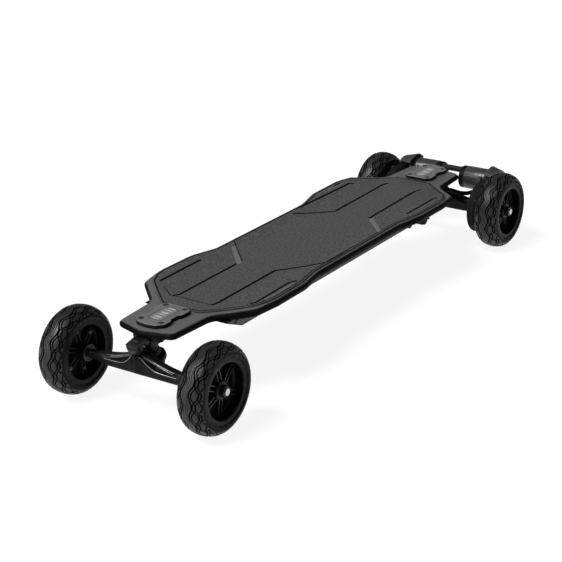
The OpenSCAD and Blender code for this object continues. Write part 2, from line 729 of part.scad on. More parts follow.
module wheel_pulley(side) {
  face = wheel_y + barrel_from;
  color([0.16, 0.16, 0.16]) at_truck(-1) on_side(side) difference() {
    union() {
      along_y(belt_y[0] - 1.8, belt_y[1] + 1.8, wheel_pulley_r);
      along_y(belt_y[0] - 1.8, belt_y[0] - 0.6, wheel_pulley_r + 2.6);
      along_y(belt_y[1] + 0.6, belt_y[1] + 1.8, wheel_pulley_r + 2.6);
      for (k = [0:spokes - 1]) rotate([0, 180 / spokes - 360 * k / spokes, 0]) translate([52, 0, 0])
        along_y(belt_y[1], wheel_y - 24.5, 3.5);
    }
    along_y(belt_y[0] - 5, belt_y[0] + 3, wheel_pulley_r - 5);
    along_y(belt_y[1] - 4, belt_y[1] + 5, wheel_pulley_r - 5);
    along_y(80, face + 20, barrel_r + 0.5);
    for (k = [0:spokes - 1]) rotate([0, -360 * k / spokes, 0]) translate([34, 0, 0]) along_y(80, 130, 8);
  }
}
module wheel_pulley_left() { wheel_pulley(1); }
module wheel_pulley_right() { wheel_pulley(-1); }

module belt(side) {
  color("black") at_truck(-1) on_side(side) plate_y(belt_y[0], belt_y[1]) difference() {
    two_discs(wheel_pulley_r + clear + belt_thick, motor_pulley_r + clear + belt_thick);
    two_discs(wheel_pulley_r + clear, motor_pulley_r + clear);
  }
}
module belt_left() { belt(1); }
module belt_right() { belt(-1); }

module belt_cover(side) {
  gap = belt_thick + 2;
  depth = cover_y[1] - cover_y[0];
  color([0.1, 0.1, 0.1]) at_truck(-1) on_side(side) difference() {
    union() {
      at_motor() translate([0, cover_y[0], 0]) rotate([-90, 0, 0])
        cylinder(h = depth, r1 = cover_r, r2 = cover_r - 7);
      plate_y(cover_y[0], cover_y[1]) polygon([[66, 64], [48, 65], [35, 62], [34, 57], [44, 45], [66, 30]]);
    }
    at_motor() translate([0, cover_y[0] - 1, 0]) rotate([-90, 0, 0])
      cylinder(h = depth - 1, r1 = cover_r - wall, r2 = cover_r - wall - 7);
    plate_y(belt_y[0] - 4, belt_y[1] + 2.4) two_discs(wheel_pulley_r + gap, motor_pulley_r + gap);
    along_y(belt_y[0] - 4, 130, wheel_pulley_r + gap);
    at_tension_bolt() translate([0, 0, 15]) cylinder(h = 20, r = 3.4);
  }
}
module belt_cover_left() { belt_cover(1); }
module belt_cover_right() { belt_cover(-1); }

deck();
grip_pad();
truck_plate_front();
truck_plate_rear();
truck_bolts();
truck_nuts();
baseplate_front();
baseplate_rear();
pivot_cup_front();
pivot_cup_rear();
kingpins();
kingpin_nuts();
bushings_front();
bushings_rear();
bushing_washers();
enclosure();
enclosure_gasket();
enclosure_screws();
battery_pack();
motor_controller();
power_button();
charge_port();
charge_port_cap();
cable_glands();
motor_cable_left();
motor_cable_right();
hanger_front();
hanger_rear();
axle_front();
axle_rear();
axle_hardware_front();
axle_hardware_rear();
tyre_front_left();
tyre_front_right();
tyre_rear_left();
tyre_rear_right();
hub_front_left();
hub_front_right();
hub_rear_left();
hub_rear_right();
bearings_front_left();
bearings_front_right();
bearings_rear_left();
bearings_rear_right();
motor_mount_left();
motor_mount_right();
motor_screws();
motor_housing_left();
motor_housing_right();
motor_brace();
motor_rotor_left();
motor_rotor_right();
motor_pulley_left();
motor_pulley_right();
wheel_pulley_left();
wheel_pulley_right();
belt_left();
belt_right();
belt_cover_left();
belt_cover_right();
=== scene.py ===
"""Electric longboard with pneumatic wheels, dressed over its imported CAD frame."""
from math import acos, atan2, copysign, cos, dist, hypot, pi, radians, sin, sqrt, tan
import bmesh
import bpy
import numpy as np
from mathutils import Matrix, Vector


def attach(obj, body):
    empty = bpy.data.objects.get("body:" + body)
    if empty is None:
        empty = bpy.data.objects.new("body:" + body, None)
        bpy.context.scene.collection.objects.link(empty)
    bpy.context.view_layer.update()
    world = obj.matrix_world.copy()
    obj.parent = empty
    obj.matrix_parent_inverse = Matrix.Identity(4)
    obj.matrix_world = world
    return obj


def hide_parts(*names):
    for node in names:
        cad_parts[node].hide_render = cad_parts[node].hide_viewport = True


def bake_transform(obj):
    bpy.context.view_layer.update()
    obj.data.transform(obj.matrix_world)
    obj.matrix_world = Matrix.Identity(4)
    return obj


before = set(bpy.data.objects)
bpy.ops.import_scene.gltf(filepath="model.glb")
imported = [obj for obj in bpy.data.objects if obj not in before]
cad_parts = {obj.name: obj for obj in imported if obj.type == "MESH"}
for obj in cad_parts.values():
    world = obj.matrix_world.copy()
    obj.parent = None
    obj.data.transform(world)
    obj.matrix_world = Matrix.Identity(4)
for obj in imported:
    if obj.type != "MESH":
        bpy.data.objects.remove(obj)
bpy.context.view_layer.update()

# ---- sizes in millimetres, in the shared frame ----
MM = 0.001
WELD_GAP = 0.01 * MM
MIDDLE = 10.0
FRONT_X = MIDDLE + 520.0
REAR_X = MIDDLE - 520.0
AXLE_Z = 80.0
DECK_MID = MIDDLE + 4.0
DECK_UNDER = 138.5
DECK_TOP = 151.0
DECK_THICK = DECK_TOP - DECK_UNDER
FLAT_HALF = 45.0
CONCAVE = 8.0
DECK_HALF = 133.0
BELLY_HALF = 92.0
BELLY_RISE = 6.0
GRIP_HALF = 126.0
GRIP_THICK = 3.0
GRIP_TOP = DECK_TOP + GRIP_THICK
SLICE_STEP = 8.0
THIN = 0.01
PLATE_LOW = 151.0
PLATE_TOP = 158.0
WHEEL_Y = 148.0
MOTOR_LOCAL = (67.0, 36.5)
STEER_TILT = radians(34)
KINGPIN_TILT = radians(26)
STEER = (cos(STEER_TILT), 0.0, sin(STEER_TILT))
KINGPIN = (sin(KINGPIN_TILT), 0.0, cos(KINGPIN_TILT))
RING = (-34.06, 0.0, 9.21)

DECK_QUARTER = [(523, 0, 0), (506, 60, 15), (407, 66, 34), (352, 125, 24), (301, 133, 90),
                (211, 132, 90), (149, 118, 90)]
GRIP_QUARTER = [(411, 40, 4), (347, 110, 6), (321, 122, 12), (295, 125.5, 40), (211, 123.5, 60),
                (151, 110, 60)]
PLATE_HALF = [(-103.5, -22, 3), (-94, -31, 4), (-72, -31, 3), (-66, -26, 3), (-48, -26, 3),
              (-42, -31, 3), (-24, -31, 6), (-13, -20, 8)]
PLATE_ROWS = PLATE_HALF + [(-9, 0, 40)] + [(x, -y, r) for x, y, r in reversed(PLATE_HALF)]


# ---- outlines ----

def corner(a, b, c, radius, steps):
    """Points of the arc that rounds corner b between a and c."""
    if radius == 0:
        return [tuple(b)]
    a, b, c = Vector(a), Vector(b), Vector(c)
    u = (a - b).normalized()
    v = (c - b).normalized()
    half = acos(max(-1, min(1, u.dot(v)))) / 2
    centre = b + (u + v).normalized() * radius / sin(half)
    first = b + u * radius / tan(half) - centre
    cross = (b - a).x * (c - b).y - (b - a).y * (c - b).x
    sweep = (1 if cross > 0 else -1) * (pi - 2 * half)
    start = atan2(first.y, first.x)
    return [(centre.x + radius * cos(start + sweep * k / steps),
             centre.y + radius * sin(start + sweep * k / steps)) for k in range(steps + 1)]


def rounded(rows, steps=6):
    """Closed outline through rows of x, y and corner radius."""
    n = len(rows)
    points = []
    for i, row in enumerate(rows):
        points += corner(rows[i - 1][:2], row[:2], rows[(i + 1) % n][:2], row[2], steps)
    return points


def four_way(quarter):
    """Completes one quarter of a deck outline."""
    back = [(-x, y, r) for x, y, r in reversed(quarter)]
    rows = quarter + back
    rows += [(-x, -y, r) for x, y, r in quarter]
    rows += [(x, -y, r) for x, y, r in reversed(quarter)]
    return [row for i, row in enumerate(rows) if row[:2] != rows[i - 1][:2]]


def mitre(before, after):
    """Sideways direction where two directions meet, long enough to keep a line's width."""
    normal = Vector((-(before.y + after.y), before.x + after.x)).normalized()
    return normal / max(0.5, normal.dot(Vector((-before.y, before.x))))


def heading(a, b):
    return Vector((b[0] - a[0], b[1] - a[1])).normalized()


def inset(outline, amount):
    """Outline moved inwards by an amount, whichever way round it is listed."""
    area = sum(p[0] * q[1] - q[0] * p[1] for p, q in zip(outline, outline[1:] + outline[:1]))
    sign = 1 if area > 0 else -1
    inner = []
    for i, b in enumerate(outline):
        after = outline[(i + 1) % len(outline)]
        step = sign * amount * mitre(heading(outline[i - 1], b), heading(b, after))
        inner.append((b[0] + step.x, b[1] + step.y))
    return inner


def ribbon(points, width):
    """Outline of a strip of a given width along a bent line."""
    left = []
    right = []
    last = len(points) - 1
    for i, p in enumerate(points):
        before = heading(points[max(i, 1) - 1], points[max(i, 1)])
        after = heading(points[min(i, last - 1)], points[min(i, last - 1) + 1])
        step = width / 2 * mitre(before, after)
        left.append((p[0] + step.x, p[1] + step.y))
        right.append((p[0] - step.x, p[1] - step.y))
    return left + right[::-1]


def circle(radius, steps, cx=0.0, cy=0.0, phase=0.0):
    return [(cx + radius * cos(phase + 2 * pi * k / steps),
             cy + radius * sin(phase + 2 * pi * k / steps)) for k in range(steps)]


def curve(value, table):
    """Value read off a table of (input, output) rows, with straight lines between."""
    return float(np.interp(value, [row[0] for row in table], [row[1] for row in table]))


def smoothstep(low, high, value):
    t = min(1.0, max(0.0, (value - low) / (high - low)))
    return t * t * (3 - 2 * t)


# ---- shells: each returns vertices and faces in millimetres ----

def skin(rings, sides, closed=False):
    """Faces between rings of vertices, which meet end to end or are capped."""
    faces = []
    for ring in range(rings if closed else rings - 1):
        here = ring * sides
        after = (ring + 1) % rings * sides
        for k in range(sides):
            n = (k + 1) % sides
            faces.append((here + k, here + n, after + n, after + k))
    if not closed:
        faces.append(tuple(range(sides - 1, -1, -1)))
        faces.append(tuple(range((rings - 1) * sides, rings * sides)))
    return faces


def stack(outline, rows):
    """Closed shell of rings, each (inset, height), capped at both ends."""
    verts = []
    for amount, height in rows:
        ring = inset(outline, amount) if amount else outline
        verts += [(x, y, height) for x, y in ring]
    return verts, skin(len(rows), len(outline))


def soft_prism(outline, low, high, edge, steps=3):
    """Prism whose upper and lower edges are rounded."""
    rows = []
    for k in range(steps + 1):
        a = pi / 2 * k / steps
        rows.append((edge * (1 - sin(a)), low + edge * (1 - cos(a))))
    for k in range(steps + 1):
        a = pi / 2 * (1 - k / steps)
        rows.append((edge * (1 - sin(a)), high - edge * (1 - cos(a))))
    return stack(outline, rows)


def lathe(profile, steps):
    """Turns a closed line of (radius, height) points about the height axis."""
    verts = []
    for k in range(steps):
        a = 2 * pi * k / steps
        verts += [(r * cos(a), r * sin(a), h) for r, h in profile]
    return verts, skin(steps, len(profile), True)


def drum(radius, low, high, steps):
    """Plain cylinder between two heights."""
    return lathe([(0.01, low), (radius, low), (radius, high), (0.01, high)], steps)


def sweep(points, radius, sides):
    """Round tube through points, capped at both ends."""
    path = [Vector(p) for p in points]
    last = len(path) - 1
    verts = []
    for i, p in enumerate(path):
        d = (path[min(i + 1, last)] - path[max(i - 1, 0)]).normalized()
        u = d.cross(Vector((0, 0, 1))).normalized()
        w = u.cross(d)
        r = radius(i / last) if callable(radius) else radius
        for k in range(sides):
            a = 2 * pi * k / sides
            verts.append(tuple(p + r * (u * cos(a) + w * sin(a))))
    return verts, skin(last + 1, sides)


def smooth_path(points, per_span):
    """Catmull-Rom curve through points."""
    p = [Vector(points[0]) * 2 - Vector(points[1])] + [Vector(q) for q in points]
    p.append(Vector(points[-1]) * 2 - Vector(points[-2]))
    out = []
    for i in range(1, len(p) - 2):
        for k in range(per_span):
            t = k / per_span
            out.append(0.5 * ((2 * p[i]) + (p[i + 1] - p[i - 1]) * t
                              + (2 * p[i - 1] - 5 * p[i] + 4 * p[i + 1] - p[i + 2]) * t * t
                              + (3 * p[i] - p[i - 1] - 3 * p[i + 1] + p[i + 2]) * t ** 3))
    out.append(p[-2])
    return out


def holed_plate(outline, holes, low, high):
    """Flat plate with holes cut through it."""
    bm = bmesh.new()
    loops = [outline] + holes
    for z in (low, high):
        edges = []
        for loop in loops:
            ring = [bm.verts.new((x, y, z)) for x, y in loop]
            edges += [bm.edges.new((ring[i - 1], ring[i])) for i in range(len(ring))]
        bmesh.ops.triangle_fill(bm, edges=edges, use_beauty=True, use_dissolve=False)
    bm.verts.ensure_lookup_table()
    total = sum(len(loop) for loop in loops)
    base = 0
    for loop in loops:
        for i in range(len(loop)):
            a = base + i
            b = base + (i + 1) % len(loop)
            bm.faces.new([bm.verts[k] for k in (a, b, b + total, a + total)])
        base += len(loop)
    verts = [tuple(v.co) for v in bm.verts]
    bm.verts.index_update()
    faces = [tuple(v.index for v in f.verts) for f in bm.faces]
    bm.free()
    return verts, faces


# ---- frames of reference ----

def shift(x, y, z):
    return Matrix.Translation((x, y, z))


def along(direction, origin):
    """Frame whose z runs along a direction in the x, z plane, from an origin."""
    z = Vector(direction).normalized()
    y = Vector((0, 1, 0))
    x = y.cross(z)
    return shift(*origin) @ Matrix((x, y, z)).transposed().to_4x4()


# z of a turned shape becomes y, and its x and y become x and z
TURN = Matrix(((1, 0, 0, 0), (0, 0, 1, 0), (0, 1, 0, 0), (0, 0, 0, 1)))
MIRROR_X = Matrix.Diagonal((-1, 1, 1, 1))
MIRROR_Y = Matrix.Diagonal((1, -1, 1, 1))
FRONT = shift(FRONT_X, 0, AXLE_Z)
REAR = shift(REAR_X, 0, AXLE_Z) @ MIRROR_X
MOTOR = shift(MOTOR_LOCAL[0], 0, MOTOR_LOCAL[1])


def axle_frame(end):
    return FRONT if end > 0 else REAR


def side_frame(side):
    return Matrix.Identity(4) if side > 0 else MIRROR_Y


class Solid:
    """Shells in millimetres, gathered into one mesh."""

    def __init__(self):
        self.verts = []
        self.faces = []
        self.tags = []

    def add(self, shell, matrix=None, tag=0):
        base = len(self.verts)
        verts, faces = shell
        matrix = matrix or Matrix.Identity(4)
        self.verts += [tuple(matrix @ Vector(v)) for v in verts]
        self.faces += [tuple(base + i for i in f) for f in faces]
        self.tags += [tag] * len(faces)
        return self


def shade(mesh, angle):
    mesh.shade_smooth()
    mesh.set_sharp_from_angle(angle=radians(angle))


def add_object(name, data):
    obj = bpy.data.objects.new(name, data)
    bpy.context.scene.collection.objects.link(obj)
    return obj


def build(name, solid, materials, angle=32):
    """Mesh object from gathered shells, with outward normals."""
    mesh = bpy.data.meshes.new(name)
    mesh.from_pydata([(x * MM, y * MM, z * MM) for x, y, z in solid.verts], [], solid.faces)
    for material in materials:
        mesh.materials.append(material)
    mesh.polygons.foreach_set("material_index", solid.tags)
    bm = bmesh.new()
    bm.from_mesh(mesh)
    bmesh.ops.recalc_face_normals(bm, faces=bm.faces)
    bm.to_mesh(mesh)
    bm.free()
    shade(mesh, angle)
    return add_object(name, mesh)


def settle(obj, angle=32):
    """Applies the modifiers on an object to its mesh."""
    graph = bpy.context.evaluated_depsgraph_get()
    graph.update()
    mesh = bpy.data.meshes.new_from_object(obj.evaluated_get(graph))
    obj.modifiers.clear()
    obj.data = mesh
    shade(mesh, angle)
    return obj


def chamfer(obj, width, angle=35, segments=2):
    """Rounds the sharp edges of an object, by a width in millimetres."""
    mod = obj.modifiers.new("edges", "BEVEL")
    mod.width = width * MM
    mod.segments = segments
    mod.limit_method = "ANGLE"
    mod.angle_limit = radians(angle)


def place(obj, body, slot, *nodes):
    """Hangs a finished piece on its body, in place of CAD nodes."""
    if nodes:
        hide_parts(*nodes)
    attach(obj, body)
    return obj


def cut(obj, solid, materials, solver="EXACT"):
    """Cuts gathered shells out of an object, keeping the cutter's materials on the cut faces."""
    tool = build("tool", solid, materials)
    mod = obj.modifiers.new("cut", "BOOLEAN")
    mod.operation = "DIFFERENCE"
    mod.solver = solver
    mod.object = tool
    if solver == "EXACT":
        mod.use_self = True
        mod.material_mode = "TRANSFER"
    settle(obj)
    bpy.data.objects.remove(tool)
    return obj


# ---- materials ----

def grey(value):
    return (value, value, value, 1.0)


class Finish:
    """Principled material with procedural colour, roughness and bump."""

    def __init__(self, name, metallic=0.0, specular=0.5):
        self.material = bpy.data.materials.new(name)
        self.material.use_nodes = True
        self.tree = self.material.node_tree
        self.shader = self.tree.nodes["Principled BSDF"]
        self.shader.inputs["Metallic"].default_value = metallic
        self.shader.inputs["Specular IOR Level"].default_value = specular
        self.where = self.tree.nodes.new("ShaderNodeTexCoord").outputs["Object"]
        self.normal = None

    def node(self, kind, **values):
        node = self.tree.nodes.new(kind)
        for key, value in values.items():
            node.inputs[key].default_value = value
        return node

    def link(self, source, target):
        self.tree.links.new(source, target)

    def stretched(self, scale):
        """Coordinates squeezed along an axis, for grain."""
        mapping = self.node("ShaderNodeMapping", Scale=scale)
        self.link(self.where, mapping.inputs["Vector"])
        return mapping.outputs["Vector"]

    def noise(self, scale, detail=3.0, rough=0.55, where=None):
        node = self.node("ShaderNodeTexNoise", Scale=scale, Detail=detail, Roughness=rough)
        self.link(where or self.where, node.inputs["Vector"])
        return node.outputs["Fac"]

    def cells(self, scale):
        node = self.node("ShaderNodeTexVoronoi", Scale=scale)
        self.link(self.where, node.inputs["Vector"])
        return node.outputs["Distance"]

    def span(self, source, low, high, start=0.3, stop=0.7):
        limits = {"From Min": start, "From Max": stop, "To Min": low, "To Max": high}
        node = self.node("ShaderNodeMapRange", **limits)
        self.link(source, node.inputs["Value"])
        return node.outputs["Result"]

    def colour(self, source, dark, light, start=0.35, stop=0.65):
        ramp = self.node("ShaderNodeValToRGB")
        for element, position, tone in zip(ramp.color_ramp.elements, (start, stop), (dark, light)):
            element.position = position
            element.color = tone
        self.link(source, ramp.inputs["Fac"])
        return ramp.outputs["Color"]

    def mix(self, factor, first, second):
        node = self.tree.nodes.new("ShaderNodeMix")
        node.data_type = "RGBA"
        self.link(factor, node.inputs["Factor"])
        self.link(first, node.inputs["A"])
        if isinstance(second, tuple):
            node.inputs["B"].default_value = second
        else:
            self.link(second, node.inputs["B"])
        return node.outputs["Result"]

    def base(self, source):
        self.link(source, self.shader.inputs["Base Color"])
        return self

    def rough(self, source, low, high):
        self.link(self.span(source, low, high), self.shader.inputs["Roughness"])
        return self

    def bump(self, source, distance, strength=1.0):
        node = self.node("ShaderNodeBump", Strength=strength, Distance=distance)
        self.link(source, node.inputs["Height"])
        if self.normal:
            self.link(self.normal, node.inputs["Normal"])
        self.normal = node.outputs["Normal"]
        self.link(self.normal, self.shader.inputs["Normal"])
        return self

    def wear_and_highlight(self, base, light, amount=1.0):
        """Edges lighter from the curvature of the mesh: partly rubbed wear, partly a painted highlight
        along the edges.
        """
        geometry = self.tree.nodes.new("ShaderNodeNewGeometry")
        edge = self.span(geometry.outputs["Pointiness"], 0.0, amount, 0.51, 0.56)
        return self.mix(edge, base, light)


def plain(name, tone, rough, bump, wear_and_highlight=None, detail=3, **values):
    """Mottled material: rows are (noise scale, low, high), or for bump (noise scale, depth, strength)."""
    f = Finish(name, **values)
    base = f.colour(f.noise(tone[0], detail), grey(tone[1]), grey(tone[2]))
    # edges lightened by curvature: part wear, part painted edge highlight
    f.base(f.wear_and_highlight(base, grey(wear_and_highlight[0]), wear_and_highlight[1]) if wear_and_highlight else base)
    f.rough(f.noise(rough[0]), rough[1], rough[2])
    return f.bump(f.noise(bump[0]), bump[1], bump[2]).material


def deck_composite():
    f = Finish("deck_composite", specular=0.35)
    grain = f.noise(90, 6, where=f.stretched((1.5, 14, 14)))
    speck = f.noise(560, 4, 0.75)
    body = f.colour(grain, grey(0.070), grey(0.090))
    fine = f.colour(speck, grey(0.050), grey(0.112))
    f.base(f.mix(f.span(f.noise(30), 0.4, 0.7), body, fine))
    f.rough(f.noise(160), 0.42, 0.58)
    return f.bump(speck, 0.0003, 0.35).material


# near-black copy of the deck with ply grain for every face that does not face up: painted shade on the
# sides and chamfers
def deck_edge_painted_shade():
    f = Finish("deck_edge_painted_shade", specular=0.02)
    ply = f.noise(26, 3, where=f.stretched((0.6, 0.6, 30)))
    f.base(f.colour(ply, grey(0.002), grey(0.006)))
    f.rough(f.noise(120), 0.35, 0.5)
    return f.bump(f.noise(700, 2), 0.00012, 0.3).material


def grip_foam():
    f = Finish("grip_foam", specular=0.2)
    sand = f.noise(260, 2, 0.6)
    grit = f.noise(1100, 3, 0.7)
    coarse = f.colour(sand, grey(0.028), grey(0.088), 0.42, 0.58)
    fine = f.colour(grit, grey(0.030), grey(0.078), 0.40, 0.62)
    f.base(f.mix(f.span(f.noise(40), 0.35, 0.6), coarse, fine))
    f.rough(f.noise(500), 0.8, 0.95)
    return f.bump(grit, 0.0006, 0.7).material


def grip_field():
    f = Finish("grip_field", specular=0.25)
    sand = f.noise(300, 3, 0.6)
    f.base(f.colour(sand, grey(0.060), grey(0.115), 0.4, 0.6))
    f.rough(f.noise(500), 0.6, 0.8)
    return f.bump(f.noise(1100), 0.0004, 0.5).material


# near-black for the cut groove walls and the seam strip: painted shade in the grooves
def grip_groove_painted_shade():
    return plain("grip_groove_painted_shade", (500, 0.002, 0.006), (300, 0.85, 0.95), (900, 0.0003, 0.4), specular=0.1)


def grip_light():
    f = Finish("grip_light", specular=0.2)
    f.base(f.colour(f.noise(1500, 3, 0.7), grey(0.075), grey(0.14)))
    f.rough(f.noise(500), 0.7, 0.9)
    return f.bump(f.noise(1500), 0.0004, 0.5).material


def plate_metal():
    f = Finish("plate_metal", metallic=0.0, specular=0.4)
    grit = f.noise(620, 4, 0.8)
    base = f.colour(grit, grey(0.028), grey(0.125), 0.38, 0.68)
    # edges lightened by curvature: part wear, part painted edge highlight
    f.base(f.wear_and_highlight(base, grey(0.2), 0.6))
    f.rough(f.noise(300), 0.42, 0.62)
    return f.bump(grit, 0.0006, 0.7).material


# near-black copy of the plate for its sides, underside and cut faces: painted shade
def plate_side_painted_shade():
    return plain("plate_side_painted_shade", (300, 0.002, 0.006), (200, 0.45, 0.6), (800, 0.0002, 0.4), specular=0.1)


def plate_mark():
    return plain("plate_mark", (900, 0.26, 0.42), (300, 0.5, 0.7), (900, 0.0002, 0.4), specular=0.3)


def black_steel():
    return plain("black_steel", (260, 0.010, 0.022), (180, 0.32, 0.5), (1200, 0.0001, 0.4),
                 wear_and_highlight=(0.2, 0.7), metallic=0.5, specular=0.2)


def forged_black():
    return plain("forged_black", (70, 0.003, 0.007), (150, 0.36, 0.48), (420, 0.00025, 0.4),
                 wear_and_highlight=(0.035, 0.6), specular=0.1)


def bright_steel():
    f = Finish("bright_steel", metallic=1.0)
    brushed = f.noise(160, 4, where=f.stretched((40, 1.5, 40)))
    f.base(f.colour(brushed, grey(0.42), grey(0.62)))
    f.rough(brushed, 0.2, 0.36)
    return f.bump(brushed, 0.0001, 0.3).material


def urethane():
    return plain("urethane", (120, 0.004, 0.009), (220, 0.35, 0.5), (500, 0.0002, 0.3), specular=0.12)


def box_shell():
    f = Finish("box_shell", specular=0.15)
    leather = f.cells(900)
    base = f.colour(f.noise(60), grey(0.006), grey(0.012))
    # edges lightened by curvature: part wear, part painted edge highlight
    f.base(f.wear_and_highlight(base, grey(0.04), 0.5))
    f.rough(f.noise(140), 0.42, 0.58)
    return f.bump(leather, 0.0002, 0.4).material


def black_rubber():
    return plain("black_rubber", (300, 0.003, 0.007), (200, 0.6, 0.8), (900, 0.0002, 0.4), specular=0.1)


def cell_wrap():
    f = Finish("cell_wrap", specular=0.5)
    f.base(f.colour(f.noise(90), (0.02, 0.05, 0.14, 1), (0.03, 0.08, 0.2, 1)))
    f.rough(f.noise(120), 0.25, 0.4)
    return f.bump(f.noise(70), 0.0006, 0.4).material


def controller_case():
    return plain("controller_case", (200, 0.12, 0.2), (160, 0.4, 0.55), (900, 0.0002, 0.3), metallic=0.8)


def cable_jacket():
    f = Finish("cable_jacket", specular=0.08)
    weave = f.cells(620)
    f.base(f.colour(weave, grey(0.0015), grey(0.005)))
    f.rough(f.noise(150), 0.5, 0.65)
    return f.bump(weave, 0.0003, 0.5).material


def tyre_rubber():
    f = Finish("tyre_rubber", specular=0.36)
    dust = f.noise(26, 5)
    base = f.colour(f.noise(420, 3), grey(0.006), grey(0.014))
    f.base(f.mix(f.span(dust, 0.0, 0.3), base, grey(0.022)))
    f.rough(f.noise(90), 0.34, 0.46)
    return f.bump(f.noise(900, 3), 0.0003, 0.45).material


# near-black rubber for the deep groove faces: painted shade in the tread grooves
def tread_groove_painted_shade():
    return plain("tread_groove_painted_shade", (500, 0.0008, 0.002), (200, 0.7, 0.9), (700, 0.0002, 0.3), specular=0.02)


def tyre_wall():
    return plain("tyre_wall", (60, 0.0015, 0.005), (120, 0.36, 0.5), (600, 0.0002, 0.4),
                 detail=4, specular=0.1)


def hub_alloy():
    return plain("hub_alloy", (120, 0.0015, 0.004), (150, 0.35, 0.5), (700, 0.00015, 0.35),
                 wear_and_highlight=(0.03, 0.6), specular=0.08)


# lighter copy of the hub finish for the rim wall: painted light
def rim_wall_painted_light():
    return plain("rim_wall_painted_light", (120, 0.010, 0.020), (150, 0.3, 0.42), (700, 0.00015, 0.35), specular=0.4)


def motor_can():
    f = Finish("motor_can", specular=0.42)
    turned = f.noise(220, 3, where=f.stretched((1, 20, 1)))
    base = f.colour(turned, grey(0.003), grey(0.007))
    # edges lightened by curvature: part wear, part painted edge highlight
    f.base(f.wear_and_highlight(base, grey(0.06), 0.6))
    f.rough(f.noise(120), 0.26, 0.34)
    return f.bump(turned, 0.00008, 0.3).material


def motor_cap():
    return plain("motor_cap", (200, 0.002, 0.005), (120, 0.4, 0.55), (700, 0.00012, 0.3), specular=0.06)


def belt_rubber():
    return plain("belt_rubber", (400, 0.003, 0.007), (200, 0.6, 0.8), (1200, 0.0002, 0.5), specular=0.1)


def cover_plastic():
    f = Finish("cover_plastic", specular=0.45)
    leather = f.noise(700, 3, 0.7)
    base = f.colour(leather, grey(0.012), grey(0.034))
    # edges lightened by curvature: part wear, part painted edge highlight
    f.base(f.wear_and_highlight(base, grey(0.07), 0.5))
    f.rough(f.noise(140), 0.42, 0.6)
    return f.bump(leather, 0.0003, 0.5).material


# bright metal colour for the hanger rims: painted highlight along the edges of the hollows
def painted_highlight_rim():
    return plain("painted_highlight_rim", (240, 0.16, 0.34), (180, 0.25, 0.4), (900, 0.0001, 0.3),
                 metallic=0.7, specular=0.5)


# bright metal: the real colour of the hub screw heads, and a painted highlight on the spoke edges and hub
# rings
def bright_metal_and_highlight():
    return plain("bright_metal_and_highlight", (300, 0.05, 0.13), (180, 0.25, 0.4), (900, 0.0001, 0.3),
                 metallic=0.8, specular=0.5)


def dark_steel():
    f = Finish("dark_steel", metallic=0.4, specular=0.15)
    brushed = f.noise(160, 4, where=f.stretched((40, 1.5, 40)))
    f.base(f.colour(brushed, grey(0.008), grey(0.02)))
    f.rough(brushed, 0.3, 0.45)
    return f.bump(brushed, 0.0001, 0.3).material


def pale_floor():
    f = Finish("pale_floor", specular=0.0)
    f.base(f.colour(f.noise(3), grey(0.15), grey(0.17)))
    f.rough(f.noise(5), 0.9, 1.0)
    f.shader.inputs["Emission Color"].default_value = (1, 1, 1, 1)
    f.shader.inputs["Emission Strength"].default_value = FLOOR_GLOW
    return f.material


SHARED = (deck_composite, grip_foam, plate_metal, black_steel, forged_black, bright_steel, urethane,
          box_shell, black_rubber, cell_wrap, controller_case, cable_jacket, tyre_rubber, hub_alloy,
          motor_can, belt_rubber, cover_plastic, bright_metal_and_highlight, dark_steel)
MATERIALS = {make.__name__: make() for make in SHARED}


# ---- deck and grip pad ----

def concave(y):
    return CONCAVE * max(0.0, (abs(y) - FLAT_HALF) / (DECK_HALF - FLAT_HALF)) ** 2


def belly(y):
    return BELLY_RISE * max(0.0, (abs(y) - BELLY_HALF) / (DECK_HALF - BELLY_HALF)) ** 1.5


def slice_mesh(obj, half):
    """Cuts a mesh with planes along the board, so that it can bend across it."""
    bm = bmesh.new()
    bm.from_mesh(obj.data)
    y = FLAT_HALF
    while y < half:
        for s in (-1, 1):
            parts = bm.verts[:] + bm.edges[:] + bm.faces[:]
            bmesh.ops.bisect_plane(bm, geom=parts, plane_co=(0, s * y * MM, 0), plane_no=(0, 1, 0))
        y += SLICE_STEP
    bm.to_mesh(obj.data)
    bm.free()


def bend_across(obj, low, thick, under):
    """Lifts the upper side by the concave and the lower side by another curve."""
    for v in obj.data.vertices:
        y = v.co.y / MM
        share = min(1.0, max(0.0, (v.co.z / MM - low) / thick))
        v.co.z += (share * concave(y) + (1 - share) * under(y)) * MM


# faces tilted further from straight up than this are painted the near-black side colour: painted shade
SHADE_PAINT_FACING = 0.85


def plan(quarter, steps):
    """Whole outline of the deck or pad from its quarter, in place along the board."""
    return [(x + DECK_MID, y) for x, y in rounded(four_way(quarter), steps)]


def make_deck():
    rows = [(5.5, 0.0), (2.4, 0.9), (0.8, 2.6), (0.0, 5.0), (0.0, 7.4), (0.2, 8.1), (0.8, 8.6),
            (3.4, 11.4), (3.8, 11.6), (4.2, 12.2), (5.0, DECK_THICK)]
    raised = [(amount, DECK_UNDER + height) for amount, height in rows]
    solid = Solid().add(stack(plan(DECK_QUARTER, 14), raised))
    obj = build("deck_shell", solid, [MATERIALS["deck_composite"], deck_edge_painted_shade()])
    # faces that do not face up take the near-black finish: painted shade by facing
    for polygon in obj.data.polygons:
        polygon.material_index = 0 if polygon.normal.z > SHADE_PAINT_FACING else 1
    slice_mesh(obj, DECK_HALF)
    bend_across(obj, DECK_UNDER, DECK_THICK, belly)
    shade(obj.data, 40)
    return place(obj, "board", "deck_composite", "deck")


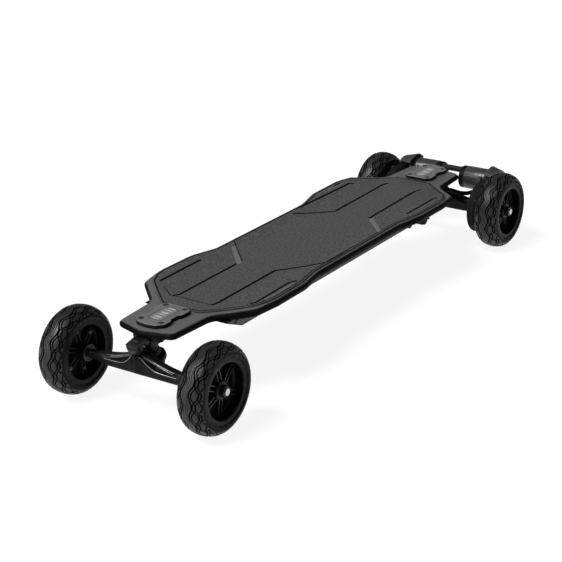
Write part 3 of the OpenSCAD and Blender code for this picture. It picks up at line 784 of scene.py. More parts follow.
DEEP_LINES = [
    [(342, -99), (218, -100)],
    [(380, -42), (366, -35), (193, -36)],
    [(379, 41), (364, 45), (186, 44), (110, 106), (35, 106)],
    [(346, 100), (333, 105), (229, 103), (214, 109)],
    [(-117, -105), (-187, -102), (-308, -100), (-313, -92)],
    [(-85, -97), (-148, -36), (-342, -40), (-361, -36)],
    [(-148, 44), (-341, 39), (-358, 45)],
    [(-201, 99.5), (-308, 99), (-319, 103)]]
THIN_LINES = [
    [(356, -80), (380, -46)], [(107, -103), (176, -36)], [(378, -37), (378, 39)]]
LIGHT_STRIPS = [
    [(134, -91), (123, -89), (186, -30), (198, -32)],
    [(-142, 47), (-152, 51), (-88, 106), (-77, 105)]]
SLIVERS = [
    [(330, 108), (325, 116), (300, 121), (222, 121), (214, 118), (229, 106)],
    [(-306, -103), (-188, -105), (-190, -117), (-222, -121), (-298, -121)]]


# how far strips sink into the pad, and where the seam starts and ends inside its rim
INLAY = 0.4
SEAM = (2.6, 5.4)


def moved(points):
    return [(x + MIDDLE, y) for x, y in points]


def make_grip():
    low = DECK_TOP
    high = GRIP_TOP
    rows = [(0.5, low), (0.0, low + 0.5), (0.0, high - 0.9), (0.25, high - 0.3), (0.9, high)]
    solid = Solid().add(stack(plan(GRIP_QUARTER, 10), rows))
    obj = build("grip_pad_moulded", solid, [MATERIALS["grip_foam"], grip_groove_painted_shade(), grip_light()])
    tool = Solid()
    for lines, width, depth in ((DEEP_LINES, 5.4, 2.2), (THIN_LINES, 2.2, 1.2)):
        for line in lines:
            # the cut faces of the grooves take the near-black finish: painted shade
            tool.add(stack(ribbon(moved(line), width), [(0, high - depth), (0, high + 2)]), tag=1)
    cut(obj, tool, list(obj.data.materials))
    slice_mesh(obj, GRIP_HALF)
    bend_across(obj, low, THIN, concave)
    shade(obj.data, 30)
    return place(obj, "board", "grip_foam", "grip_pad")


def ring_strip(outer, inner, low, high):
    """Flat ring between two outlines that have the same number of points."""
    count = len(outer)
    verts = [(x, y, z) for z in (low, high) for loop in (outer, inner) for x, y in loop]
    faces = []
    for k in range(count):
        n = (k + 1) % count
        corners = [(0, k), (0, n), (1, n), (1, k)]
        for z, order in ((0, -1), (1, 1)):
            face = [(2 * z + loop) * count + i for loop, i in corners]
            faces.append(tuple(face[::order]))
        faces.append((k, n, 2 * count + n, 2 * count + k))
        faces.append((count + n, count + k, 3 * count + k, 3 * count + n))
    return verts, faces


def make_seam():
    """Dark seam just inside the rim of the pad: a flat near-black strip painted as the shade of a seam
    groove.
    """
    outline = plan(GRIP_QUARTER, 10)
    low = GRIP_TOP - INLAY
    solid = Solid().add(ring_strip(inset(outline, SEAM[0]), inset(outline, SEAM[1]), low, low + 0.5))
    obj = build("grip_seam", solid, [grip_groove_painted_shade()])
    slice_mesh(obj, GRIP_HALF)
    bend_across(obj, low, THIN, concave)
    return place(obj, "board", "grip_foam")


def make_strips():
    """Pale rubbed strips, and the lighter outer fields of the pad."""
    low = GRIP_TOP - INLAY
    solid = Solid()
    for points in LIGHT_STRIPS:
        solid.add(stack(moved(points), [(0, low), (0, GRIP_TOP + 0.2)]))
    for points in SLIVERS:
        loop = inset(rounded([(x, y, 2) for x, y in moved(points)], 4), 5.0)
        solid.add(stack(loop, [(0, low), (0, GRIP_TOP + 0.15)]), tag=1)
    obj = build("grip_strips", solid, [grip_light(), grip_field()])
    slice_mesh(obj, GRIP_HALF)
    bend_across(obj, low, THIN, concave)
    return place(obj, "board", "grip_foam")


# ---- truck plates ----

def make_plate(name, end, node):
    matrix = axle_frame(end) @ shift(0, 0, -AXLE_Z)
    outline = rounded(PLATE_ROWS, 5)
    solid = Solid()
    # sides and underside of the plate take the near-black finish: painted shade; the top keeps the
    # grained grey
    solid.add(soft_prism(outline, PLATE_LOW + 0.02, PLATE_TOP - 0.6, 0.8), matrix, 1)
    top_rows = [(0, PLATE_TOP - 2), (0, PLATE_TOP - 0.4), (0.5, PLATE_TOP)]
    solid.add(stack(inset(outline, 0.5), top_rows), matrix, 0)
    obj = build(name, solid, [MATERIALS["plate_metal"], plate_side_painted_shade(), plate_mark()])
    # the cut faces of the panel line and screw holes also take the near-black finish: painted shade in
    # the recesses
    tool = Solid()
    panel = rounded([(-86, -15, 2), (-34, -15, 2), (-34, 15, 2), (-86, 15, 2)], 3)
    frame_cut = holed_plate(panel, [inset(panel, 1.0)], PLATE_TOP - 0.7, PLATE_TOP + 1)
    tool.add(frame_cut, matrix, 1)
    for sx in (-1, 1):
        for sy in (-1, 1):
            hole = circle(5.6, 28, -60 + sx * 33.8, sy * 21.2)
            tool.add(stack(hole, [(0, PLATE_TOP - 3.3), (0, PLATE_TOP + 2)]), matrix, 1)
    cut(obj, tool, list(obj.data.materials))
    shade(obj.data, 30)
    return place(obj, "board", "plate_metal", node)


BAR_WIDTHS = (4.0, 2.5, 5.0, 2.5, 5.0, 2.5)
BAR_PITCH = 9.4
BAR_HALF = 7.5


def make_plate_marks(name, end):
    """Plain bars where the original carries its lettering."""
    matrix = axle_frame(end) @ shift(0, 0, -AXLE_Z)
    solid = Solid()
    rows = [(0, PLATE_TOP - 0.5), (0, PLATE_TOP + 0.1), (0.25, PLATE_TOP + 0.3)]
    for k, width in enumerate(BAR_WIDTHS):
        x = -86 + BAR_PITCH * k
        corners = [(x, -BAR_HALF), (x + width, -BAR_HALF), (x + width, BAR_HALF), (x, BAR_HALF)]
        bar = rounded([(*point, 0.8) for point in corners], 2)
        solid.add(stack(bar, rows), matrix)
    obj = build(name, solid, [plate_mark()])
    return place(obj, "board", "plate_metal")


# ---- hangers ----

BEAM_FRONT = [(0, 25), (5, 22.5), (12, 18.5), (25, 15.5), (45, 13.5), (75, 12), (94, 11), (112, 11)]
BEAM_TOP = [(0, 36), (7, 34), (24, 24.5), (42, 18.5), (60, 14.5), (75, 12), (94, 11), (112, 11)]
SCOOP_LOW = [(0, 34), (6, 31), (12, 25), (20, 16.5), (32, 8), (45, 5), (60, 4), (90, 3.5)]
SCOOP_DEPTH = [(0, 0), (5, 0), (12, 7.5), (50, 7.5), (74, 3), (84, 0), (112, 0)]
BEAM_BACK = 12.0
BEAM_UNDER = -14.5
SLEEVE_R = 11.0
SECTION_POINTS = 96


def even_loop(points, count):
    """Points spread evenly round a closed line, from the first point on."""
    closed = points + points[:1]
    steps = [dist(p, q) for p, q in zip(closed, closed[1:])]
    marks = np.concatenate([[0], np.cumsum(steps)])
    at = np.linspace(0, marks[-1], count, endpoint=False)
    return list(zip(*(np.interp(at, marks, [p[axis] for p in closed]) for axis in (0, 1))))


def beam_section(a):
    """Section of the beam at a distance a from the middle, starting at the back."""
    front = curve(a, BEAM_FRONT)
    top = curve(a, BEAM_TOP)
    low = min(curve(a, SCOOP_LOW), top - 4)
    depth = curve(a, SCOOP_DEPTH)
    lip = top - 3.0
    foot = BEAM_UNDER + 0.6 * front
    points = [(-BEAM_BACK, 0), (-BEAM_BACK, BEAM_UNDER + 3), (-BEAM_BACK + 3, BEAM_UNDER),
              (0, BEAM_UNDER), (front - 1.5, foot - 0.9), (front, foot + 1), (front - 0.4, low - 1),
              (front - 1.2, low),
              (front - 1.2 - depth, low + min(2.5, depth)), (front - 3 - depth, (low + lip) / 2),
              (front - 4 - depth * 0.8, lip - 1), (8.5, lip + 1), (8, top - 0.8), (6, top), (-5, top),
              (-BEAM_BACK, top - 9)]
    ring = circle(SLEEVE_R, SECTION_POINTS, phase=pi)
    share = smoothstep(72, 86, a)
    slim = 1 - 0.24 * smoothstep(84, 102, a)
    body = even_loop(points, SECTION_POINTS)
    return [((1 - share) * p[0] + share * q[0] * slim, (1 - share) * p[1] + share * q[1] * slim)
            for p, q in zip(body, ring)]


def beam_shell(half):
    stations = np.linspace(-half, half, 151)
    verts = []
    for y in stations:
        verts += [(x, float(y), z) for x, z in beam_section(abs(float(y)))]
    return verts, skin(len(stations), SECTION_POINTS)


def rib_line(points, radius):
    """Slim bead along the front of the beam; points are (distance from the middle, x, z)."""
    path = smooth_path([(x, y, z) for y, x, z in points], 6)
    return sweep(path, lambda t: radius * (0.35 + 0.65 * sin(pi * t) ** 0.4), 10)


RIM_BEAD = [(7, 21.0, 30.5), (12, 17.6, 25.4), (20, 15.6, 16.8), (32, 13.4, 8.4), (45, 12.2, 5.4),
            (60, 11.4, 4.4), (78, 10.4, 3.4)]
MIDDLE_BEAD = [(10, 14.5, 28.0), (22, 10.5, 22.0), (38, 7.8, 15.2), (54, 7.6, 10.6), (68, 8.6, 8.2)]
TOP_BEAD = [(10, 14.0, 31.0), (24, 9.4, 22.8), (42, 8.6, 17.0), (58, 8.6, 13.4), (72, 8.6, 11.2)]


def make_beads(name, end, body):
    """Raised rims round the hollows in the front of a hanger, coloured bright as a painted highlight."""
    matrix = axle_frame(end)
    solid = Solid()
    for side in (1, -1):
        for line, radius in ((RIM_BEAD, 0.75), (MIDDLE_BEAD, 0.6), (TOP_BEAD, 0.6)):
            solid.add(rib_line([(side * y, x, z) for y, x, z in line], radius), matrix)
    obj = build(name, solid, [painted_highlight_rim()], 60)
    return place(obj, body, "forged_black")


VOXEL = 1.15
PIVOT_PIN = [(0.01, 46), (7, 46), (7, 64), (6, 65.4), (0.01, 65.4)]


def join_mesh(obj, other):
    """Adds another object's mesh to an object, and removes the other object."""
    bm = bmesh.new()
    bm.from_mesh(obj.data)
    bm.from_mesh(other.data)
    bm.to_mesh(obj.data)
    bm.free()
    bpy.data.objects.remove(other)


def make_hanger(name, end, half, body, node):
    """Beam, ring and nose, grown together with cast fillets."""
    solid = Solid()
    solid.add(beam_shell(half))
    ring_frame = along(KINGPIN, RING)
    ring = [(9.3, -5), (18.3, -5), (19, -4.2), (19, 4.2), (18.3, 5), (9.3, 5), (8.6, 4.4), (8.6, -4.4)]
    solid.add(lathe(ring, 64), ring_frame)
    neck = [(13, -18), (27, -22), (30, -22), (30, 22), (27, 22), (13, 18)]
    solid.add(stack(neck, [(0, -5), (0, 5)]), ring_frame)
    nose = [(0.01, 20), (14.5, 20), (13.5, 30), (10, 42), (8, 50), (7, 51), (7, 52), (0.01, 52)]
    nose_frame = along(STEER, RING)
    solid.add(lathe(nose, 48), nose_frame)
    obj = build(name, solid, [MATERIALS["forged_black"]])
    remesh = obj.modifiers.new("grow", "REMESH")
    remesh.mode = "VOXEL"
    remesh.voxel_size = VOXEL * MM
    soften = obj.modifiers.new("soften", "SMOOTH")
    soften.factor = 0.5
    soften.iterations = 4
    settle(obj)
    tool = Solid()
    tool.add(drum(19.5, 5.0, 45, 64), ring_frame)
    tool.add(drum(17, -40, -5.0, 64), ring_frame)
    tool.add(drum(15, 55, 95, 64), nose_frame)
    cut(obj, tool, [MATERIALS["forged_black"]], solver="FAST")
    obj.data.transform(Matrix.Scale(1 / MM, 4))
    pin = build("pin", Solid().add(lathe(PIVOT_PIN, 40), nose_frame), [MATERIALS["forged_black"]])
    pin.data.transform(Matrix.Scale(1 / MM, 4))
    join_mesh(obj, pin)
    obj.data.transform(axle_frame(end))
    obj.data.transform(Matrix.Scale(MM, 4))
    if end < 0:
        obj.data.flip_normals()
    shade(obj.data, 40)
    return place(obj, body, "forged_black", node)


def make_bushings(end, node):
    """Barrel and cone bushings, each squeezed between the ring and a washer."""
    word = "front" if end > 0 else "rear"
    start = axle_frame(end) @ along(KINGPIN, RING)
    barrel = [(5.4, 5.2), (12.2, 5.2), (12.9, 6.4), (12.6, 8.6), (13.0, 11), (12.6, 13.4), (12.9, 15.6),
              (12.2, 16.8), (5.4, 16.8)]
    cone = [(5.4, -5.2), (11.9, -5.2), (12.5, -6.4), (12.1, -8.6), (11.2, -11), (10.4, -13.4),
            (9.8, -15.6), (9.2, -15.9), (5.4, -15.9)]
    for label, profile in (("upper", barrel), ("lower", cone)):
        solid = Solid().add(lathe(profile, 56), start)
        obj = build("bushing_" + word + "_" + label, solid, [MATERIALS["urethane"]], 50)
        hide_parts(node)
        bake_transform(obj)


# ---- wheels ----

TYRE_STEPS = 480
TYRE_WAVES = 12
TYRE_SECTION = [(0, 80.0), (6, 79.6), (11.2, 78.6), (16, 76.9), (20, 74.6), (23, 71.9), (25.0, 69.2),
                (26.4, 66.4)]
# each row: middle of a zigzag groove, its swing, half its width, its depth
ZIGZAGS = [(3.6, 1.5, 0.4, 0.8), (8.4, 3.0, 1.25, 3.0), (13.6, 4.0, 0.95, 3.0), (16.6, -4.0, 0.95, 3.0),
           (20.6, -3.2, 0.8, 2.6), (22.6, 2.0, 0.8, 2.6)]


def wave(turn):
    """Trapezoid wave from -1 to 1."""
    t = abs((turn % 1.0) * 2 - 1) * 2 - 1
    return max(-1.0, min(1.0, t * 1.6))


def groove(distance, half, depth):
    return depth * (1 - smoothstep(half * 0.55, half * 1.25, abs(distance)))


def tread_depth(w, turn):
    """How far the tread lies below its crown, at a distance w across and a share of a turn round."""
    side = 1 if w > 0 else -1
    a = abs(w)
    t = wave(turn * TYRE_WAVES + (0.0 if side > 0 else 0.5))
    depth = groove(w - 1.2 * wave(turn * TYRE_WAVES), 0.4, 0.8)
    for middle, swing, half, deep in ZIGZAGS:
        depth = max(depth, groove(a - (middle + swing * t), half, deep))
    notch = abs(((turn * TYRE_WAVES * 4 + 0.25) % 1.0) - 0.5)
    if a > 22.5:
        depth = max(depth, 2.0 * (1 - smoothstep(0.06, 0.13, notch)) * (1 - smoothstep(24.8, 26.0, a)))
    return depth


def tyre_rows():
    """Half section sampled finely over the tread and lightly down the sidewall."""
    across = list(np.arange(0, 25.4, 0.5))
    rows = [(float(w), curve(w, TYRE_SECTION)) for w in across]
    return rows + [(25.9, 67.6), (26.5, 66.4), (26.85, 65.2), (27.0, 64.0), (26.95, 62.8), (26.6, 61.8),
                   (26.7, 61.3), (26.0, 60.4), (25.2, 59.2), (23.8, 58.2), (22.0, 57.2)]


def make_tyre_mesh():
    half = tyre_rows()
    section = [(-w, r) for w, r in reversed(half[1:])] + half
    verts = []
    for k in range(TYRE_STEPS):
        turn = k / TYRE_STEPS
        angle = 2 * pi * turn
        for w, r in section:
            a = abs(w)
            out = w
            if 62.5 < r < 66.8 and a > 26.3 and k % 4 < 2:
                out = copysign(a - 0.6, w)
            if a < 25.6:
                r = r - tread_depth(w, turn)
            verts.append((r * cos(angle), out, r * sin(angle)))
    return Solid().add((verts, skin(TYRE_STEPS, len(section), True)))


def paint_tread(mesh):
    """Gives the tread blocks, the grooves and the side walls their own finish; the deep groove faces get
    a near-black painted shade.
    """
    for polygon in mesh.polygons:
        x, w, z = polygon.center / MM
        a = abs(w)
        turn = (atan2(z, x) / (2 * pi)) % 1.0
        if a > 26.0 or hypot(x, z) < 66.5:
            polygon.material_index = 2
        elif tread_depth(w, turn) > 1.3:
            polygon.material_index = 1


SPOKES = 6
# turn of each hub in degrees, as the photographed wheels stand
PHASES = {"front_left": 27, "front_right": 40, "rear_left": 12, "rear_right": 30}


def spoke_shell(angle, offset, half_width, rows):
    """One tapering rib from the barrel to the rim; rows are (radius, inner face, outer face)."""
    verts = []
    for radius, low, high in rows:
        for s, w in ((-1, low), (1, low), (1, high), (-1, high)):
            verts.append((radius, offset + s * half_width, w))
    turned = Matrix.Rotation(angle, 4, "Z")
    return [tuple(turned @ Vector(v)) for v in verts], skin(len(rows), 4)


def spoke_angles(phase):
    return [radians(phase + 360 / SPOKES * k) for k in range(SPOKES)]


def bolt_frame(angle):
    """Frame of a bolt on the ring of bolts round the hub."""
    return TURN @ Matrix.Rotation(angle, 4, "Z") @ shift(37, 0, 0)


def hub_solid(phase):
    """Rim, closed dish, barrel and six double-ribbed spokes; z points away from the board."""
    solid = Solid()
    rim = [(49, -24), (49.5, -24.5), (57.4, -24.5), (58, -23.9), (58, -22.9), (57.4, -22.3),
           (53.9, -22.3), (53.9, 22.3), (57.4, 22.3), (58, 22.9), (58, 23.9), (57.4, 24.5),
           (50.6, 24.5), (49.6, 23.8),
           (49.2, 21), (50.4, 19.5), (50.4, -19.5), (49.2, -21)]
    dish = [(16, 2), (24, 2.6), (40, 1.2), (47, 2.4), (50.6, 6), (50.6, 2), (50.6, -4), (47, -1.4),
            (40, -0.8), (24, -2.6), (16, -3)]
    barrel = [(14.1, -29.3), (14.6, -29.5), (15.2, -28.9), (16.5, -16), (18, -6), (20.5, -3), (20.5, 5.0),
              (18.2, 8), (17.2, 11), (17.2, 14.9), (16.6, 15.5), (14.1, 15.5), (14.1, 15.2), (14.1, 7.2),
              (10, 7.0), (10, -21.0), (14.1, -21.2)]
    cap = [(9.6, 15.1), (16.4, 15.1), (16.2, 15.7), (12.4, 15.75), (12.0, 16.1), (11.2, 16.1),
           (10.9, 15.75), (9.6, 15.7)]
    for profile, steps in ((rim, 144), (dish, 144), (barrel, 96), (cap, 72)):
        solid.add(lathe(profile, steps), TURN)
    outer = [(15, 1.5, 12.8), (24, 1.5, 11.4), (36, 0.8, 9.4), (46, 0.8, 9.0), (50.8, 1.5, 10.0)]
    web = [(15, 1.0, 7.0), (30, 0.8, 5.2), (50.8, 0.8, 5.0)]
    inner = [(15, -12, -1.5), (30, -9.5, -1.5), (50.8, -8.5, -1.5)]
    boss = [(0.01, -7.0), (3.0, -7.0), (3.4, -6.6), (3.4, -1), (0.01, -1)]
    for angle in spoke_angles(phase):
        for s in (-1, 1):
            solid.add(spoke_shell(angle, s * 3.9, 1.15, outer), TURN)
            solid.add(spoke_shell(angle, s * 3.9, 1.15, inner), TURN)
        solid.add(spoke_shell(angle, 0, 3.6, web), TURN)
        solid.add(lathe(boss, 24), bolt_frame(angle))
    return solid


def spoke_rims_solid(phase):
    """Bright top edges of the spokes, a hair proud of the ribs, and two thin bright rings at the barrel:
    painted highlights.
    """
    solid = Solid()
    top = [(16, 12.6, 12.75), (24, 11.3, 11.55), (36, 9.3, 9.55), (46, 8.9, 9.15), (49.6, 9.7, 9.9)]
    for angle in spoke_angles(phase):
        for s in (-1, 1):
            solid.add(spoke_shell(angle, s * 4.45, 0.5, top), TURN)
    ring = [(12.2, 15.6), (13.0, 15.6), (13.0, 16.15), (12.8, 16.3), (12.4, 16.3), (12.2, 16.15)]
    solid.add(lathe(ring, 72), TURN)
    back = [(14.3, -29.2), (15.0, -29.2), (15.0, -29.5), (14.8, -29.8), (14.3, -29.8)]
    solid.add(lathe(back, 72), TURN)
    return solid


def hub_bolts_solid(phase):
    """Socket screws on the side that faces the board."""
    solid = Solid()
    head = [(0.01, -9.0), (1.5, -9.0), (1.5, -10.2), (2.9, -10.2), (3.2, -9.9), (3.2, -6.5), (0.01, -6.5)]
    for angle in spoke_angles(phase):
        solid.add(lathe(head, 20), bolt_frame(angle))
    return solid


def wheel_matrix(end, side):
    centre = Vector((FRONT_X if end > 0 else REAR_X, side * WHEEL_Y, AXLE_Z)) * MM
    turn = Matrix.Identity(4) if side > 0 else Matrix.Rotation(pi, 4, "Z")
    return Matrix.Translation(centre) @ turn


def set_piece(obj, matrix, body, slot, *nodes):
    obj.matrix_world = matrix
    place(obj, body, slot, *nodes)


def paint_lit_rim(mesh):
    """Gives the outer wall of the rim a lighter, glossier copy of the hub finish: painted light on the
    crescent where the wall is lit.
    """
    for polygon in mesh.polygons:
        x, w, z = polygon.center / MM
        if 49.0 < hypot(x, z) < 51.5 and 2.0 < w < 20.5:
            polygon.material_index = 1


def make_wheels():
    edge_metal_and_highlight = [MATERIALS["bright_metal_and_highlight"]]
    rubbers = [MATERIALS["tyre_rubber"], tread_groove_painted_shade(), tyre_wall()]
    tyre = build("tyre_mould", make_tyre_mesh(), rubbers, 38)
    paint_tread(tyre.data)
    tyre_mesh = tyre.data
    bpy.data.objects.remove(tyre)
    for end, word in ((1, "front"), (-1, "rear")):
        for side, hand in ((1, "left"), (-1, "right")):
            corner_name = word + "_" + hand
            body = "wheel_" + corner_name
            matrix = wheel_matrix(end, side)
            obj = add_object("treaded_tyre_" + corner_name, tyre_mesh)
            set_piece(obj, matrix, body, "tyre_rubber", "tyre_" + corner_name)
            phase = PHASES[corner_name]
            alloys = [MATERIALS["hub_alloy"], rim_wall_painted_light()]
            hub = build("spoked_hub_" + corner_name, hub_solid(phase), alloys, 35)
            paint_lit_rim(hub.data)
            chamfer(hub, 0.35)
            set_piece(hub, matrix, body, "hub_alloy", "hub_" + corner_name)
            rims = build("spoke_edges_" + corner_name, spoke_rims_solid(phase), edge_metal_and_highlight, 35)
            set_piece(rims, matrix, body, "hub_alloy")
            bolts = build("hub_bolts_" + corner_name, hub_bolts_solid(phase), edge_metal_and_highlight, 35)
            set_piece(bolts, matrix, body, "bright_steel")


# ---- belt drive ----

BELT_LOW = 99.0
BELT_HIGH = 112.0
BELT_PITCH = 5
BELT_TEETH = 78
WHEEL_TEETH = 66
MOTOR_TEETH = 15
TOOTH_DEPTH = 1.6
WHEEL_PULLEY_R = WHEEL_TEETH * BELT_PITCH / (2 * pi) - 0.6
MOTOR_PULLEY_R = MOTOR_TEETH * BELT_PITCH / (2 * pi) - 0.6
FLANGE = 2.6
SHAFT_R = 4.02


def gear(teeth, radius):
    points = []
    for k in range(teeth):
        for share, drop in ((0.0, 0), (0.42, 0), (0.56, TOOTH_DEPTH), (0.86, TOOTH_DEPTH)):
            a = 2 * pi * (k + share) / teeth
            points.append(((radius - drop) * cos(a), (radius - drop) * sin(a)))
    return points


def flange_profile(inner, radius, low):
    high = low + 1.2
    return [(inner, low), (radius - 0.4, low), (radius, low + 0.4), (radius, high - 0.4),
            (radius - 0.4, high), (inner, high)]


def make_wheel_pulley(side, word):
    solid = Solid()
    frame_here = REAR @ side_frame(side) @ TURN
    inner = WHEEL_PULLEY_R - 5
    outline = gear(WHEEL_TEETH, WHEEL_PULLEY_R)
    solid.add(holed_plate(outline, [circle(inner, 96)], BELT_LOW - 0.6, BELT_HIGH + 0.6), frame_here)
    for low in (BELT_LOW - 1.8, BELT_HIGH + 0.6):
        solid.add(lathe(flange_profile(inner, WHEEL_PULLEY_R + FLANGE, low), 120), frame_here)
    holes = [circle(18.5, 64)] + [circle(8, 36, *spot) for spot in circle(34, SPOKES)]
    solid.add(holed_plate(circle(inner + 0.4, 96), holes, BELT_LOW + 3, BELT_HIGH - 4), frame_here)
    hub = [(18.5, BELT_LOW + 0.6), (22, BELT_LOW + 0.6), (22.6, BELT_LOW + 1.2), (22.6, BELT_HIGH - 2),
           (22, BELT_HIGH - 1.4), (18.5, BELT_HIGH - 1.4)]
    solid.add(lathe(hub, 72), frame_here)
    for spot in circle(52, SPOKES, phase=-pi / SPOKES):
        solid.add(drum(3.5, BELT_HIGH, 123.5, 24), frame_here @ shift(*spot, 0))
    obj = build("toothed_wheel_pulley_" + word, solid, [MATERIALS["hub_alloy"]], 30)
    return place(obj, "wheel_rear_" + word, "hub_alloy", "wheel_pulley_" + word)


def make_motor_pulley(side, word):
    solid = Solid()
    frame_here = REAR @ side_frame(side) @ MOTOR @ TURN
    outline = gear(MOTOR_TEETH, MOTOR_PULLEY_R)
    solid.add(holed_plate(outline, [circle(SHAFT_R, 32)], BELT_LOW - 0.7, BELT_HIGH + 0.7), frame_here)
    for low in (BELT_LOW - 1.8, BELT_HIGH + 0.6):
        solid.add(lathe(flange_profile(SHAFT_R, MOTOR_PULLEY_R + FLANGE, low), 64), frame_here)
    obj = build("toothed_motor_pulley_" + word, solid, [MATERIALS["bright_steel"]], 30)
    return place(obj, "motor_" + word, "bright_steel", "motor_pulley_" + word)


def belt_path(wheel_r, motor_r, steps):
    """Points round two discs, each with the direction that faces outwards there."""
    span = hypot(*MOTOR_LOCAL)
    tilt = atan2(MOTOR_LOCAL[1], MOTOR_LOCAL[0])
    lean = acos((wheel_r - motor_r) / span)
    line = sqrt(span ** 2 - (wheel_r - motor_r) ** 2)
    # each row: length, then the share of the way to the motor and the outward angle, from start to end
    parts = [(wheel_r * 2 * (pi - lean), 0, 0, lean, 2 * pi - lean), (line, 0, 1, -lean, -lean),
             (motor_r * 2 * lean, 1, 1, -lean, lean), (line, 1, 0, lean, lean)]
    total = sum(part[0] for part in parts)
    rows = []
    for k in range(steps):
        left = total * k / steps
        part = 0
        while left >= parts[part][0]:
            left -= parts[part][0]
            part += 1
        length, share0, share1, angle0, angle1 = parts[part]
        t = left / length
        share = share0 + (share1 - share0) * t
        angle = angle0 + (angle1 - angle0) * t + tilt
        radius = wheel_r + (motor_r - wheel_r) * share
        rows.append((MOTOR_LOCAL[0] * share + radius * cos(angle),
                     MOTOR_LOCAL[1] * share + radius * sin(angle), angle))
    return rows


def make_belt(side, word):
    """Belt with teeth on its inner face."""
    gap = 0.3
    thick = 3.0
    rows = belt_path(WHEEL_PULLEY_R + gap, MOTOR_PULLEY_R + gap, 4 * BELT_TEETH)
    verts = []
    for k, (x, z, a) in enumerate(rows):
        inner = 0.0 if k % 4 < 2 else 1.1
        for lift, y in ((inner, BELT_LOW), (thick, BELT_LOW), (thick, BELT_HIGH), (inner, BELT_HIGH)):
            verts.append((x + lift * cos(a), y, z + lift * sin(a)))
    solid = Solid().add((verts, skin(len(rows), 4, True)), REAR @ side_frame(side))
    obj = build("toothed_belt_" + word, solid, [MATERIALS["belt_rubber"]], 28)
    return place(obj, "rear_truck", "belt_rubber", "belt_" + word)


BOSS_TILT = radians(197)


def make_motor(side, word):
    """Motor can with end bells, a clamp band and the boss that takes its cable."""
    frame_here = REAR @ side_frame(side) @ MOTOR
    cap = [(4.2, 24.6), (12, 24.2), (13, 24.0), (15, 25.2), (20.5, 25.2), (22.4, 24.0), (23.4, 24.3),
           (24.2, 25.4), (24.5, 27.5), (24.5, 36.4), (10, 36.4)]
    can = [(10, 36.0), (24.2, 36.0), (24.8, 36.3), (25, 37.0), (25, 79.0), (24.5, 79.3),
           (24.5, 80.2), (25, 80.5), (25, 84.8), (24.2, 86), (9, 86), (4.2, 85.6)]
    solid = Solid()
    solid.add(lathe(cap, 112), frame_here @ TURN, 1)
    solid.add(lathe(can, 112), frame_here @ TURN)
    boss = [(0.01, 19), (7.0, 19), (7.0, 27), (6.5, 28), (6.5, 32.2), (5.9, 33), (0.01, 33)]
    direction = (cos(BOSS_TILT), 0, -sin(BOSS_TILT))
    solid.add(lathe(boss, 40), frame_here @ along(direction, (0, 77, 0)))
    obj = build("motor_shell_" + word, solid, [MATERIALS["motor_can"], motor_cap()], 30)
    return place(obj, "rear_truck", "motor_can", "motor_housing_" + word)


def make_brace():
    """Bar that ties the two motors together."""
    high = AXLE_Z + MOTOR_LOCAL[1] + 15.5
    line = [(REAR_X - MOTOR_LOCAL[0] + 3, float(y), high) for y in np.linspace(-26, 26, 13)]
    solid = Solid()
    solid.add(sweep(line, 6.5, 36))
    for side in (-1, 1):
        clamp = [(6.4, 21.0), (6.9, 21.0), (7.3, 21.4), (7.3, 23.2), (6.9, 23.6), (6.4, 23.6)]
        solid.add(lathe(clamp, 36), shift(line[0][0], 0, high) @ side_frame(side) @ TURN)
    obj = build("tie_bar", solid, [MATERIALS["forged_black"]], 40)
    return place(obj, "rear_truck", "forged_black", "motor_brace")


CABLE_ROUTE = [(-400, 48, 125), (-430, 48, 125), (-460, 48, 124), (-483, 49, 118), (-500, 53, 110),
               (-514, 59, 104), (-529, 66, 100.5), (-544, 73, 101.5), (-554, 77, 105.5)]
CABLE_R = 4.5


def make_cable(side, word):
    points = [(x + MIDDLE, side * y, z) for x, y, z in CABLE_ROUTE]
    solid = Solid().add(sweep(smooth_path(points, 8), CABLE_R, 20))
    obj = build("motor_lead_" + word, solid, [MATERIALS["cable_jacket"]], 60)
    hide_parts("motor_cable_" + word)
    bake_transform(obj)
    return obj


# ---- CAD nodes that keep their shape ----

# each row: finish, rounding of the edges in millimetres, nodes
KEPT = [
    ("black_steel", 0.3, "truck_bolts enclosure_screws motor_screws"),
    ("black_steel", 0.4, "truck_nuts"),
    ("forged_black", 1.0, "baseplate_front baseplate_rear"),
    ("forged_black", 0.7, "motor_mount_left motor_mount_right"),
    ("urethane", 0.3, "pivot_cup_front pivot_cup_rear"),
    ("dark_steel", 0.2, "bearings_front_left bearings_front_right"),
    ("dark_steel", 0.2, "bearings_rear_left bearings_rear_right"),
    ("dark_steel", 0.3, "bushing_washers"),
    ("dark_steel", 0.4, "kingpins axle_hardware_front axle_hardware_rear"),
    ("dark_steel", 0.5, "kingpin_nuts"),
    ("bright_steel", 0.4, "axle_front axle_rear motor_rotor_left motor_rotor_right"),
    ("box_shell", 1.2, "enclosure"),
    ("black_rubber", 0.2, "enclosure_gasket"),
    ("black_rubber", 0.3, "charge_port"),
    ("black_rubber", 0.5, "charge_port_cap cable_glands"),
    ("cell_wrap", 2.0, "battery_pack"),
    ("controller_case", 0.6, "motor_controller"),
    ("hub_alloy", 0.5, "power_button"),
    ("cover_plastic", 0.8, "belt_cover_left belt_cover_right")]


def dress_nodes():
    for finish, width, names in KEPT:
        for name in names.split():
            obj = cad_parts[name]
            obj.data.materials.clear()
            obj.data.materials.append(MATERIALS[finish])
            weld = obj.modifiers.new("join", "WELD")
            weld.merge_threshold = WELD_GAP
            chamfer(obj, width, 30, 3)


# ---- camera, light and floor ----

YAW, PITCH, ROLL = -2.5454, 0.3803, -0.0167
CAMERA_FROM_MIDDLE = (2.35848, 1.53078, 1.18579)
LENS = 99.59
FLOOR_HALF = 30
FLOOR_GAP = 0.0005
WORLD_STRENGTH = 0.22
FLOOR_GLOW = 0.88


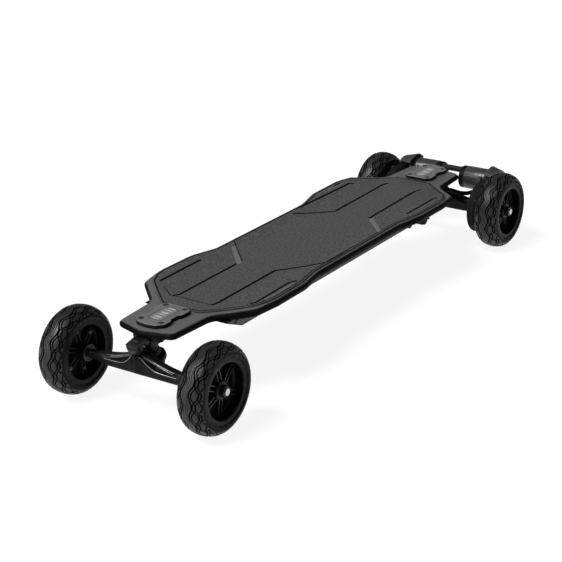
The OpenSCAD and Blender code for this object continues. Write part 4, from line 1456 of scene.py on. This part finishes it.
def make_camera():
    level = cos(PITCH)
    forward = Vector((level * cos(YAW), level * sin(YAW), -sin(PITCH)))
    right = forward.cross(Vector((0, 0, 1))).normalized()
    up = right.cross(forward)
    rolled_right = cos(ROLL) * right + sin(ROLL) * up
    rolled_up = cos(ROLL) * up - sin(ROLL) * right
    matrix = Matrix((rolled_right, rolled_up, -forward)).transposed().to_4x4()
    matrix.translation = Vector((CAMERA_FROM_MIDDLE[0] + MIDDLE * MM, *CAMERA_FROM_MIDDLE[1:]))
    data = bpy.data.cameras.new("camera")
    data.sensor_width = 36.0
    data.lens = LENS
    camera = add_object("camera", data)
    camera.matrix_world = matrix
    bpy.context.scene.camera = camera


def make_floor():
    bm = bmesh.new()
    bmesh.ops.create_grid(bm, x_segments=1, y_segments=1, size=FLOOR_HALF)
    mesh = bpy.data.meshes.new("floor")
    bm.to_mesh(mesh)
    bm.free()
    mesh.materials.append(pale_floor())
    floor = add_object("floor", mesh)
    floor.location.z = -FLOOR_GAP


def add_sun(name, energy, location, angle):
    """Soft sun that shines from a point towards the origin."""
    data = bpy.data.lights.new(name, "SUN")
    data.energy = energy
    data.angle = angle
    light = add_object(name, data)
    light.location = location
    light.rotation_euler = (-Vector(location)).to_track_quat("-Z", "Y").to_euler()


def make_light():
    world = bpy.data.worlds.new("studio")
    world.use_nodes = True
    world.node_tree.nodes["Background"].inputs["Color"].default_value = (1, 1, 1, 1)
    world.node_tree.nodes["Background"].inputs["Strength"].default_value = WORLD_STRENGTH
    bpy.context.scene.world = world
    add_sun("key", 3.4, (0.9, -0.5, 1.5), 0.45)
    add_sun("low_fill", 1.2, (1.2, -0.8, 0.4), 0.6)
    bpy.context.scene.view_settings.view_transform = "Standard"


make_camera()
make_light()
make_floor()
dress_nodes()
make_deck()
make_grip()
make_seam()
make_strips()
make_plate("truck_plate_cast_front", 1, "truck_plate_front")
make_plate("truck_plate_cast_rear", -1, "truck_plate_rear")
make_plate_marks("plate_bars_front", 1)
make_plate_marks("plate_bars_rear", -1)
make_hanger("cast_hanger_front", 1, 112.0, "front_truck", "hanger_front")
make_hanger("cast_hanger_rear", -1, 94.0, "rear_truck", "hanger_rear")
make_beads("hanger_rims_front", 1, "front_truck")
make_beads("hanger_rims_rear", -1, "rear_truck")
make_bushings(1, "bushings_front")
make_bushings(-1, "bushings_rear")
make_wheels()
for hand_sign, hand_word in ((1, "left"), (-1, "right")):
    make_wheel_pulley(hand_sign, hand_word)
    make_motor_pulley(hand_sign, hand_word)
    make_belt(hand_sign, hand_word)
    make_motor(hand_sign, hand_word)
    make_cable(hand_sign, hand_word)
make_brace()
